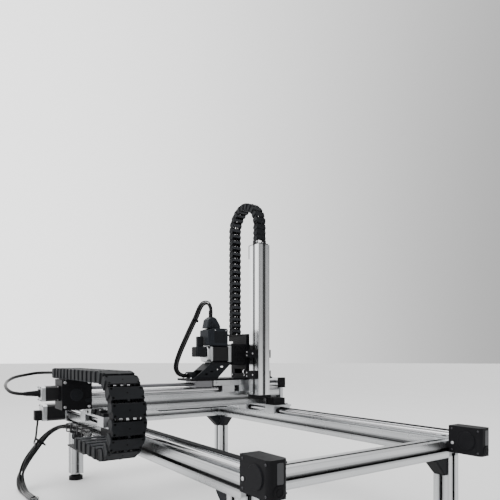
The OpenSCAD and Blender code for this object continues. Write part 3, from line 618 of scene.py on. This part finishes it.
def tie(part, place, along, w, h, tail=(0, 0, 1)):
    """Cable tie: a flat band round the bundle with its head and cut tail."""
    m = aligned(place, along, tail)
    outline, inner = rounded(h + 2.4, w + 2.4, 3.4), rounded(h, w, 2.6)
    n = len(outline)
    points = [(p[0], p[1], z) for z in (-2.2, 2.2) for ring in (outline, inner) for p in ring]
    faces = []
    for i in range(n):
        j = (i + 1) % n
        faces += [[i, j, 2 * n + j, 2 * n + i], [n + j, n + i, 3 * n + i, 3 * n + j],
                  [j, i, n + i, n + j], [2 * n + i, 2 * n + j, 3 * n + j, 3 * n + i]]
    part.add((points, faces), TIE, m)
    part.add(block((h / 2 + 0.8, -3, -3), (h / 2 + 5, 3, 3), 0.6), TIE, m)
    part.add(block((h / 2 + 1.5, 2.5, -1.6), (h / 2 + 3, 7, 1.6), 0.3), TIE, m)


def long_cables():
    """Six cables with their plugs, from the chain and the X motor to the coil."""
    cables, plugs = [], []
    for j in range(len(STRANDS)):
        line, plug_at, plug_along = bundle_line(j)
        cable = tube(f"cable_{j + 1}", line, CABLE_D, SHEATH, 10)
        plug_piece = connector(f"cable_plug_{j + 1}", plug_at, plug_along)
        for piece in (cable, plug_piece):
            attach(piece, "table_frame")
        cables.append(cable)
        plugs.append(plug_piece)
    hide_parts("cable_bundle", "cable_coil")
    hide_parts("cable_plugs")

def bundle_ties():
    """Ties round the bundle and the coil."""
    ties = Part()
    tie(ties, (-496, -416, 143), (0.1, -0.64, -0.76), 32, 26, (0.8, -0.5, 0.4))
    tie(ties, (-300, -473, 8), (1, 0, 0), 21, 14)
    for turn in (0.4, 1.62):
        a = coil_angle(turn)
        spot = COIL_MID + Vector((COIL_R * math.cos(a), COIL_R * math.sin(a), 19.5))
        tie(ties, spot, (math.sin(a), -math.cos(a), 0), 24, 38)
    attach(ties.make("bundle_ties", "moulded_black"), "table_frame")


def y_motor_lead():
    """Stiff lead with its ribbed boot, from the X chain to the Y motor."""
    y_line = smooth_line(Y_CABLE_ROUTE, 4.0)
    y_cable = tube("y_motor_lead", y_line, 9.0, SHEATH, 16)
    boot = [(8.6, 0), (9.0, 2)] + [(9.0 - 0.16 * k - (1.1 if k % 2 else 0.0), 3 + 1.9 * k)
                                   for k in range(18)] + [(5.4, 39), (4.9, 41)]
    y_boot = Part().add(lathe(boot, 28), MOULDED, aligned((BEAM_X, -475, 322), (0, -1, 0)))
    y_boot.add(block((-231, -478, 311), (-209, -474.5, 333), 0.8), MOULDED)
    y_boot = y_boot.make("y_motor_boot", "moulded_black")
    for piece in (y_cable, y_boot):
        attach(piece, "cross_beam")
    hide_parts("y_motor_cable")


def z_motor_leads():
    """Three leads from the Z motor hood down to the tray, with two ties."""
    for j, (across, out, d) in enumerate(Z_STRANDS):
        route = [Vector(p) for p in Z_CABLE_ROUTE]
        points = []
        for i, p in enumerate(route):
            tangent = (route[min(i + 1, len(route) - 1)] - route[max(i - 1, 0)]).normalized()
            away = X_AXIS.cross(tangent).normalized()
            loose = math.sin(math.pi * i / (len(route) - 1))
            points.append(p + X_AXIS * across + away * (out * (1 + 0.9 * loose)))
        z_line = smooth_line(points, 4.0)
        z_cable = tube(f"z_motor_lead_{j + 1}", z_line, d, SHEATH, 12)
        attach(z_cable, "y_carriage")
    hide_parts("z_motor_cables")
    z_ties = Part()
    tie(z_ties, (-208, 7, 545), (0, -0.45, -0.9), 18, 13, (0, 0.9, -0.45))
    tie(z_ties, (-210, -24, 363), (0, 1, 0), 19, 12)
    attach(z_ties.make("z_lead_ties", "moulded_black"), "y_carriage")


# ---------------------------------------------------------------- energy chains


def chain_link(part, at, pitch, w, h, cheek=4.0, lid=2.6, bar=8.0):
    """One link: lapped side cheeks, a closed lid outside and an open crossbar inside.
    Its own axes are X along the chain, Y across it and Z towards the outside of the bend."""
    half, hw, hh = pitch / 2, w / 2, h / 2
    cut = hh * 0.42
    front = [(-half - 1.5, -hh + cut), (-half + cut - 1.5, -hh), (half * 0.16, -hh),
             (half * 0.16, hh), (-half + cut - 1.5, hh), (-half - 1.5, hh - cut)]
    back = [(0, -hh + 1.5), (half + 2 - cut, -hh + 1.5), (half + 2, -hh + cut + 1),
            (half + 2, hh - cut - 1), (half + 2 - cut, hh - 1.5), (0, hh - 1.5)]
    turn = Matrix.Rotation(math.pi / 2, 4, "X")
    for s in (-1, 1):
        outer = sorted((-s * hw, -s * (hw - cheek)))
        inner = sorted((-s * (hw - cheek * 0.55), -s * (hw - cheek - 1.4)))
        part.add(prism(front, outer[0], outer[1], 0.6), CHAIN, at @ turn)
        part.add(prism(back, inner[0], inner[1], 0.5), CHEEK, at @ turn)
        rib = sorted((s * (hw - 1.5), s * (hw + 0.5)))
        part.add(block((-half * 0.2, rib[0], -hh + 3), (half * 0.1, rib[1], hh - 3), 0.4),
                 CHAIN, at)
    inner_w = hw - cheek * 0.5
    gap = pitch * 0.045
    part.add(block((-half + gap, -inner_w, hh - lid), (half - gap, inner_w, hh + 0.2), 0.9),
             CHAIN, at)
    part.add(block((-bar, -inner_w, -hh), (bar, inner_w, -hh + lid), 0.7), CHAIN_BAR, at)
    part.add(block((half - 3.4, -2.6, hh - lid), (half + 3.4, 2.6, hh + 0.9), 0.5), CHAIN, at)
    # near-black discs of painted shade where the lid has small pits
    shade_spots = [(sx * half * 0.66, sy * (inner_w - w * 0.055)) for sx in (-1, 1) for sy in (-1, 1)]
    for x, y, r in [(*dot, pitch * 0.075) for dot in shade_spots] + [(0, 0, pitch * 0.045)]:
        part.add(lathe([(r, 0), (r, 0.35), (r * 0.7, 0.4)], 12), HOLE_SHADE,
                 at @ Matrix.Translation((x, y, hh + 0.1)))


def chain_run(start, end, outwards, across, links, w, h, **sizes):
    start, end = Vector(start), Vector(end)
    part, pitch = Part(), (end - start).length / links
    along = (end - start).normalized()
    for k in range(links):
        m = Matrix((along, Vector(across), Vector(outwards))).transposed().to_4x4()
        m.translation = start + along * pitch * (k + 0.5)
        chain_link(part, m, pitch, w, h, **sizes)
    lanes = [-0.3, -0.1, 0.1, 0.3] if w > 50 else [-0.14, 0.14]
    for lane in lanes:
        m = aligned(start + Vector(across) * lane * w, along)
        part.add(lathe([(h * 0.15, 1), (h * 0.15, (end - start).length - 1)], 10), SHEATH, m)
    return part


def chain_bend(centre, r, from_angle, to_angle, plane, across, links, w, h, **sizes):
    """Links round an arc. plane holds the two unit vectors that angle 0 and 90 point along."""
    part = Part()
    u, v = Vector(plane[0]), Vector(plane[1])
    step = math.radians(to_angle - from_angle) / links
    pitch = abs(step) * r
    for k in range(links):
        a = math.radians(from_angle) + step * (k + 0.5)
        out = u * math.cos(a) + v * math.sin(a)
        along = (-u * math.sin(a) + v * math.cos(a)) * (1 if step > 0 else -1)
        m = Matrix((along, out.cross(along), out)).transposed().to_4x4()
        m.translation = Vector(centre) + out * r
        chain_link(part, m, pitch, w, h, **sizes)
    lanes = [-0.3, -0.1, 0.1, 0.3] if w > 50 else [-0.14, 0.14]
    n, sides, q = links * 3, 10, h * 0.15
    for lane in lanes:
        points, faces = [], []
        for k in range(n + 1):
            a = math.radians(from_angle) + step * links * k / n
            out = u * math.cos(a) + v * math.sin(a)
            for i in range(sides):
                b = 2 * math.pi * i / sides
                points.append(Vector(centre) + Vector(across) * (lane * w + q * math.sin(b))
                              + out * (r + q * math.cos(b)))
        for k in range(n):
            for i in range(sides):
                j = (i + 1) % sides
                faces.append([k * sides + i, k * sides + j, (k + 1) * sides + j,
                              (k + 1) * sides + i])
        part.add((points, faces), SHEATH)
    return part


def run_piece(name, start, end, outwards, across, links, sizes, node):
    """Straight stretch of a chain that joins two bodies; it is left unattached, with its placement baked
    into the mesh.
    """
    piece = chain_run(start, end, outwards, across, links, **sizes).make(name, "chain_plastic")
    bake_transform(piece)
    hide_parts(node)


def bend_piece(name, body, centre, r, angles, plane, across, links, sizes, node):
    """The bend of a chain, which rides on its own body."""
    bend = chain_bend(centre, r, *angles, plane, across, links, **sizes)
    piece = bend.make(name, "chain_plastic")
    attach(piece, body)
    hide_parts(node)


# runs, ends of the straight stretches and bend radius of each chain, and its link sizes
X_Y, X_TOP, X_LOW, X_BEND, X_R = -375, 375, 197, 91, 89
WIDE = dict(w=80, h=28, bar=11.0)
Z_FIXED_X, Z_MID, Z_R = -279, 875, 75
SLIM = dict(w=38, h=23, cheek=3.0, lid=2.2, bar=4.8)
Y_X, Y_LOW, Y_TOP, Y_BEND, Y_R = -280, 257, 321, 130, 32
SMALL = dict(w=30, h=16, cheek=2.4, lid=1.8, bar=3.6)


def x_chain():
    """Wide chain beside the near rail."""
    run_piece("x_chain_upper_links", (-330, X_Y, X_TOP),
              (X_BEND, X_Y, X_TOP), Z_AXIS, Y_AXIS, 12, WIDE, "x_chain_upper_run")
    run_piece("x_chain_lower_links", (-99, X_Y, X_LOW),
              (X_BEND, X_Y, X_LOW), -Z_AXIS, -Y_AXIS, 5, WIDE, "x_chain_lower_run")
    bend_piece("x_chain_bend_links", "x_chain_roll", (X_BEND, X_Y, X_LOW + X_R), X_R, (90, -90),
               (X_AXIS, Z_AXIS), Y_AXIS, 8, WIDE, "x_chain_bend")


def z_chain():
    """Slim chain that stands beside the column and hangs over its top."""
    run_piece("z_chain_fixed_links", (Z_FIXED_X, COLUMN_Y, 507),
              (Z_FIXED_X, COLUMN_Y, Z_MID), -X_AXIS, -Y_AXIS, 17, SLIM, "z_chain_fixed_run")
    run_piece("z_chain_column_links", (COLUMN_X, COLUMN_Y, 821),
              (COLUMN_X, COLUMN_Y, Z_MID), X_AXIS, Y_AXIS, 3, SLIM, "z_chain_column_run")
    bend_piece("z_chain_bend_links", "z_chain_roll", (Z_FIXED_X + Z_R, COLUMN_Y, Z_MID), Z_R,
               (180, 0), (X_AXIS, Z_AXIS), Y_AXIS, 11, SLIM, "z_chain_bend")


def y_chain():
    """Small chain behind the beam, with its shelf."""
    shelf = Part().add(block((Y_X - 15, -100, 246), (-250, 160, 249), 0.5), BLACK)
    screws(shelf, [(-258, y, 249) for y in (-90, -20, 60, 150)], Z_AXIS, 5.5, 2.4, DARK_BOLT)
    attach(shelf.make("y_chain_shelf", "black_anodised"), "cross_beam")
    run_piece("y_chain_lower_links", (Y_X, -40, Y_LOW),
              (Y_X, Y_BEND, Y_LOW), -Z_AXIS, X_AXIS, 10, SMALL, "y_chain_lower_run")
    run_piece("y_chain_upper_links", (Y_X, 64, Y_TOP),
              (Y_X, Y_BEND, Y_TOP), Z_AXIS, -X_AXIS, 4, SMALL, "y_chain_upper_run")
    bend_piece("y_chain_bend_links", "y_chain_roll", (Y_X, Y_BEND, Y_LOW + Y_R), Y_R, (90, -90),
               (Y_AXIS, Z_AXIS), X_AXIS, 6, SMALL, "y_chain_bend")


# ---------------------------------------------------------------- motors


PIN_X, PIN_Z = -205.1, 433  # axis of the pinion and the Z motor
SECTION = aligned((0, 0, 0), (1, 0, 0), Y_AXIS)  # for outlines (y, z) drawn out along X


def motor(w, rear, body, front, at, long_bell, flange=None):
    """Square stepper motor along Z: front flange, stator and a rear bell, from z = 0 backwards."""
    part = Part()
    part.add(prism(cut_square(w, w * 0.05), -front, 0, 0.6), flange or CAST, at)
    part.add(prism(cut_square(w - 0.8, w * 0.11), -front - body, -front, 0.4), STATOR, at)
    top = -front - body
    part.add(prism(cut_square(w - 0.6, w * 0.10), top - rear * (0.45 if long_bell else 1.0), top,
                   0.8), CAST, at)
    if long_bell:
        part.add(prism(cut_square(w - 5, w * 0.16), top - rear, top - rear * 0.4, 1.6), CAST, at)
    q = w * 0.41
    back = top - rear * (0.45 if long_bell else 1.0)
    for sx in (-1, 1):
        for sy in (-1, 1):
            spot = at @ Vector((sx * q, sy * q, back + 0.4))
            out = -(at.to_3x3() @ Z_AXIS)
            part.add(socket_screw(w * 0.09, 2.2), DARK_BOLT, aligned(spot, out))
            spot = at @ Vector((sx * q, sy * q, -0.3))
            part.add(lathe([(w * 0.05, 0), (w * 0.05, -front - 1.5)], 12), BOLT,
                     aligned(spot, at.to_3x3() @ Z_AXIS))
    return part


def x_motor():
    """Motor under the near drive block, with its plug."""
    part = motor(57, 15, 60, 6, aligned((-575, -317, 231), (0, 1, 0)), False)
    part.add(prism(rounded(26, 34, 3), -22, 0, 1.2), MOULDED, aligned((-575, -398, 222), (0, 1, 0), X_AXIS))
    part.add(block((-586, -416, 204.6), (-564, -400, 212), 1.0), MOULDED)
    part.add(lathe([(5.2, 0), (5.2, 3), (4.2, 4), (4.2, 7)], 18), MOULDED,
             aligned((-575, -409, 206), (0, 0, 1)))
    piece = part.make("x_motor", "motor_black")
    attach(piece, "table_frame")
    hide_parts("x_motor_body", "x_motor_caps")


def y_motor():
    """Motor on the drive housing of the beam."""
    part = motor(42, 12, 33, 5, aligned((BEAM_X, -425, 321), (0, 1, 0)), False, BLACK)
    piece = part.make("y_motor", "motor_black")
    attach(piece, "cross_beam")
    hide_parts("y_motor_body", "y_motor_caps")


def z_motor():
    """Long motor of the column's drive."""
    part = motor(57, 19, 61, 12, aligned((PIN_X, 130, PIN_Z), (0, 1, 0)), True)
    piece = part.make("z_motor", "motor_black")
    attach(piece, "y_carriage")
    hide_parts("z_motor_body", "z_motor_caps")


def z_terminal_housing():
    """Terminal box, hood, cable sleeves and encoder cap on the Z motor."""
    part = Part()
    roof = [(38, 463), (56, 461.5), (116, 461.5), (116, 515), (112, 519), (60, 519), (38, 512)]
    part.add(prism(roof, PIN_X - 28, PIN_X + 28, 1.6), GREY, SECTION)
    panel = [(62, 470), (110, 470), (110, 508), (62, 508)]
    part.add(prism(panel, PIN_X + 27.4, PIN_X + 28.6, 0.4), COVER, SECTION)
    for spot in ((PIN_X + 28, 66, 512), (PIN_X + 28, 108, 512)):
        part.add(socket_screw(4.5, 1.6), BOLT, aligned(spot, X_AXIS))
    hood = [(40, 519), (92, 519), (92, 528), (84, 541), (76, 553), (70, 555), (56, 555), (46, 547)]
    part.add(prism(hood, PIN_X - 18, PIN_X + 18, 2.0), GREY, SECTION)
    for across, out, d in Z_STRANDS:
        if d > 5:
            sleeve = [(6.4, -2), (6.4, 4), (5.6, 5)] + [(5.8 - 0.5 * (k % 2), 6 + 2 * k)
                                                       for k in range(9)] + [(4.4, 25)]
            part.add(lathe(sleeve, 20), MOULDED, aligned((PIN_X + across, 64 - out, 555), Z_AXIS))
    for k in range(4):
        part.add(block((PIN_X - 18.6, 48 + 8 * k, 523), (PIN_X + 18.6, 51 + 8 * k, 545 - 4 * k), 0.5),
                 COVER)
    part.add(prism(rounded(16, 30, 3), 0, 4, 0.8), MOULDED, aligned((PIN_X, 64, 553), Z_AXIS, Y_AXIS))
    part.add(prism(rounded(34, 40, 4), 0, 36, 1.8), COVER, aligned((PIN_X, 2, 440), Y_AXIS, Z_AXIS))
    part.add(prism(rounded(22, 16, 3), 0, 50, 1.5), COVER, aligned((PIN_X, 22, 441), Z_AXIS, Y_AXIS))
    part.add(prism(rounded(27, 30, 2), 0, 1.2, 0.4), MOULDED, aligned((PIN_X, 2, 440), -Y_AXIS, Z_AXIS))
    piece = part.make("z_terminal_housing", "moulded_grey")
    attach(piece, "y_carriage")
    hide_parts("z_encoder_housing")


# ---------------------------------------------------------------- fittings and screws

def corner_caps():
    """Closed corner brackets with sloping caps."""
    part = Part()
    for sx in (-1, 1):
        for sy in (-1, 1):
            for u in (Vector((-sx, 0, 0)), Vector((0, -sy, 0))):
                corner = Vector((LEG_X * sx, LEG_Y * sy, 185)) + u * 20
                across = u.cross(Z_AXIS)
                m = Matrix((u, Z_AXIS, across)).transposed().to_4x4()
                m.translation = corner
                if m.to_3x3().determinant() < 0:
                    m = m @ Matrix.Scale(-1, 4, Z_AXIS)
                wedge = [(0, 0), (0, -42), (5, -42), (42, -5), (42, 0)]
                part.add(prism(wedge, -17, 17, 1.2), COVER, m)
                rim = [(1.5, -39), (5.6, -43), (43, -5.6), (39, -1.5)]
                part.add(prism(rim, -14.5, 14.5, 0.8), MOULDED, m)
    piece = part.make("corner_caps", "moulded_black")
    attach(piece, "table_frame")
    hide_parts("corner_brackets")


def lead_screw_thread():
    """Lead screw with a rolled thread of two starts."""
    part = Part()
    core, thread, sides, lead = 4.9, 6.0, 20, 10.0
    length = 722.0
    steps = int(length / 1.25)
    points = []
    for k in range(steps + 1):
        y = length * k / steps
        for i in range(sides):
            a = 2 * math.pi * i / sides
            wave = 0.5 + 0.5 * math.cos(2 * math.pi * y / (lead / 2) - 2 * a)
            r = core + (thread - core) * smoothstep(0.2 + 1.3 * (wave - 0.15))
            if y < 20 or y > length - 12:
                r = thread - 0.4
            points.append((r * math.cos(a), r * math.sin(a), y))
    part.add((points, rings_joined(steps + 1, sides)), SCREW_STEEL, aligned((BEAM_X, -362, 333), Y_AXIS))
    piece = part.make("lead_screw_thread", "dark_screw_steel", 60)
    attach(piece, "screw")
    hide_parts("lead_screw")


def frame_fittings():
    """Cover screws, label plates, hub rings and feet collars of the table frame."""
    part = Part()
    for sx in (-1, 1):
        for sy in (-1, 1):
            face = BLOCK_FACE * sx
            part.add(prism(rounded(13, 34, 2), 0, 0.6, 0.2), LABEL,
                     aligned((face, LEG_Y * sy + 3, 240), (sx, 0, 0), Y_AXIS))
            part.add(lathe([(11, 0), (11, 0.8), (10.2, 1.4), (7.6, 1.4), (7.2, 0.6), (4.6, 0.6),
                            (4.2, 1.6), (1, 1.6)], 32), BLACK,
                     aligned((face, LEG_Y * sy, 211.5), (sx, 0, 0)))
            for t in (-1, 1):
                out = (0, t, 0)
                y = LEG_Y * sy + 20 * t
                x_in, x_out = 531 * sx + 8 * sx, 602 * sx
                spots = [(x_in, y, 206), (x_out, y, 206), (x_out, y, 255), (x_in, y, 255)]
                screws(part, spots, out, 4.6, 1.4, DARK_BOLT)
                part.add(socket_screw(7, 2.4), BOLT, aligned((x_in + 2 * sx, y, 222), out))
                if sx > 0 or (sy > 0 and t > 0):
                    part.add(lathe([(20.5, 1.9), (20.5, 2.3), (20.0, 2.8), (1, 2.8)], 40), BLACK,
                             aligned((575 * sx, y, 231), out))
            part.add(lathe([(11, 18.2), (11, 21), (9.6, 21.9)], 6), BOLT,
                     aligned((LEG_X * sx, LEG_Y * sy, 0), Z_AXIS))
    piece = part.make("frame_fittings", "moulded_black")
    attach(piece, "table_frame")


def beam_fittings():
    """Plate and housing screws, round cover and small cap of the cross beam."""
    part = Part()
    for sy in (-1, 1):
        for t in (-1, 1):
            for v in (-1, 1):
                for u in (-1, 1):
                    x, y = BEAM_X + t * (83.5 + v * 16), LEG_Y * sy + u * 29
                    if t < 0 or u > 0:
                        screws(part, [(x, y, 257)], Z_AXIS, 8.5, 4.5)
    screws(part, [(-180, y, z) for y in (-417, -351) for z in (283, 351)], X_AXIS, 8.0, 2.6)
    part.add(lathe([(18, -0.6), (18, 0.6), (16.6, 1.4), (15, 1.4), (14.4, 0.9), (3, 0.9)], 40), COVER,
             aligned((-180.5, -385, 317), X_AXIS))
    part.add(prism(rounded(10, 18, 2), 0, 3, 0.6), COVER, aligned((-180, -352, 300), X_AXIS, Z_AXIS))
    screws(part, [(BEAM_X + q, 362, z) for q in (-22, 22) for z in (270, 340)], Y_AXIS, 8.0, 3.0)
    part.add(lathe([(9, 0), (9, 2), (8, 3), (4, 3), (4, 1.5)], 28), BOLT,
             aligned((BEAM_X, 362, 333), Y_AXIS))
    for y in (-326, -306):
        screws(part, [(-160, y, 271)], Z_AXIS, 6.0, 2.4)
    piece = part.make("beam_fittings", "black_anodised")
    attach(piece, "cross_beam")


def carriage_fittings():
    """Screws, cover ribs, pads and fin of the Y carriage."""
    part = Part()
    screws(part, [(BEAM_X + x, -18, 352) for x in (-30, 30)], Z_AXIS, 8.0, 3.4)
    screws(part, [(-182, y, 336) for y in (76, 130, 170, 208)], X_AXIS, 6.5, 2.4)
    screws(part, [(-155, 178.6, z) for z in (358, 370, 428, 440)], -Y_AXIS, 5.5, 2.0)
    screws(part, [(-121, 178.5, z) for z in (363, 434)], -Y_AXIS, 6.0, 2.4)
    screws(part, [(x, 184, 352 + z) for x in (-252, -178) for z in (8, 112)], -Y_AXIS, 6.0, 2.4)
    screws(part, [(x, y, 503) for x in (-240, -205) for y in (194, 230)], Z_AXIS, 6.0, 2.4)
    part.add(lathe([(10, 0), (10, 3), (8.6, 4.4), (5, 4.4), (5, 2)], 28), BOLT,
             aligned((-179, 186, 372), X_AXIS))
    part.add(block((-233, 58, 401), (-177, 118, 405.4), 0.8), MOULDED)
    part.add(block((-292, 192, 480), (-188, 232, 500), 1.2), BLACK)
    part.add(block((-262, 190, 473), (-192, 234, 482), 1.0), BLACK)
    for k in range(5):
        part.add(block((-232 + 11.5 * k, 131, 396), (-226 + 11.5 * k, 183, 401.4), 0.6), BLACK)
        part.add(block((-173.4, 131 + 11 * k, 403), (-170.8, 137 + 11 * k, 463), 0.6), BLACK)
    fin = [(245, 350), (266, 350), (266, 355), (256, 357), (252, 386), (247, 411), (245, 411)]
    part.add(prism(fin, -132, -126, 0.6), BLACK, SECTION)
    piece = part.make("carriage_fittings", "black_anodised")
    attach(piece, "y_carriage")


def column_fittings():
    """End cap and clamp screws of the column."""
    part = Part()
    screws(part, [(COLUMN_X + x, COLUMN_Y, 807) for x in (-18, 18)], Z_AXIS, 6.5, 3.0)
    part.add(lathe([(4, 0), (4, 2.4), (2.4, 2.8)], 16), BOLT, aligned((-117, 193, 812), X_AXIS))
    piece = part.make("column_fittings", "black_anodised")
    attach(piece, "column")


def x_chain_end_screws():
    """Screws of the bracket at the moving end of the X chain."""
    part = Part()
    screws(part, [(-337.5, X_Y + q, 387) for q in (-30, -10, 10, 30)], Z_AXIS, 6.0, 2.2, DARK_BOLT)
    piece = part.make("x_chain_end_screws", "black_anodised")
    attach(piece, "x_chain_lead")


# ---------------------------------------------------------------- room and light

BRIGHT_SIDE = (-0.6, -0.8, 0.0)  # side of the room that the soft light comes from
BRIGHT, DIM = 2.6, 0.5  # light level of the room on that side and on the opposite one
SOFTNESS = 0.6  # how far round the room the change from bright to dim reaches, of 1
FLOOR_R, FLOOR_RINGS, FLOOR_SIDES = 40.0, 5, 96


def studio_floor():
    """Flat round floor of one pale tone with a faint grain."""
    n = Nodes("studio_floor")
    tone = n.ramp(n.noise(1.5), [(0.3, (0.78, 0.78, 0.78)), (0.7, (0.80, 0.80, 0.80))])
    n.join(tone, n.shader.inputs["Base Color"])
    n.shader.inputs["Roughness"].default_value = 0.85
    n.shader.inputs["Specular IOR Level"].default_value = 0.1
    n.join(n.bump(n.noise(300.0, 3.0), 0.00002), n.shader.inputs["Normal"])
    points = [(0, 0, 0)]
    for ring in range(FLOOR_RINGS):
        r = FLOOR_R / 2.5 ** (FLOOR_RINGS - 1 - ring)
        points += [(r * math.cos(2 * math.pi * i / FLOOR_SIDES),
                    r * math.sin(2 * math.pi * i / FLOOR_SIDES), 0) for i in range(FLOOR_SIDES)]
    faces = [[0, 1 + i, 1 + (i + 1) % FLOOR_SIDES] for i in range(FLOOR_SIDES)]
    for ring in range(FLOOR_RINGS - 1):
        for i in range(FLOOR_SIDES):
            a = 1 + ring * FLOOR_SIDES + i
            b = 1 + ring * FLOOR_SIDES + (i + 1) % FLOOR_SIDES
            faces.append([a, a + FLOOR_SIDES, b + FLOOR_SIDES, b])
    mesh = bpy.data.meshes.new("studio_floor")
    mesh.from_pydata(points, [], faces)
    mesh.materials.append(n.material)
    link(bpy.data.objects.new("studio_floor", mesh))


def studio_light():
    """Plain soft light: the room fades smoothly from its bright side to its dim side."""
    world = bpy.data.worlds.new("studio")
    bpy.context.scene.world = world
    world.use_nodes = True
    nodes, links = world.node_tree.nodes, world.node_tree.links
    side = nodes.new("ShaderNodeVectorMath")
    side.operation = "DOT_PRODUCT"
    side.inputs[1].default_value = BRIGHT_SIDE
    links.new(nodes.new("ShaderNodeTexCoord").outputs["Generated"], side.inputs[0])
    fade = nodes.new("ShaderNodeMapRange")
    fade.interpolation_type = "SMOOTHSTEP"
    for name, value in (("From Min", -SOFTNESS), ("From Max", SOFTNESS), ("To Min", DIM),
                        ("To Max", BRIGHT)):
        fade.inputs[name].default_value = value
    links.new(side.outputs["Value"], fade.inputs["Value"])
    links.new(fade.outputs["Result"], nodes["Background"].inputs["Color"])
    area_light("key_soft_box", Vector((-0.5, -0.4, 3.4)), P(-100, -50, 300), (2.4, 2.4), 70)


for make in (long_cables, bundle_ties, y_motor_lead, z_motor_leads, x_chain, z_chain, y_chain,
             x_motor, y_motor, z_motor, z_terminal_housing, corner_caps, lead_screw_thread,
             frame_fittings, beam_fittings, carriage_fittings, column_fittings,
             x_chain_end_screws, studio_floor, studio_light):
    make()
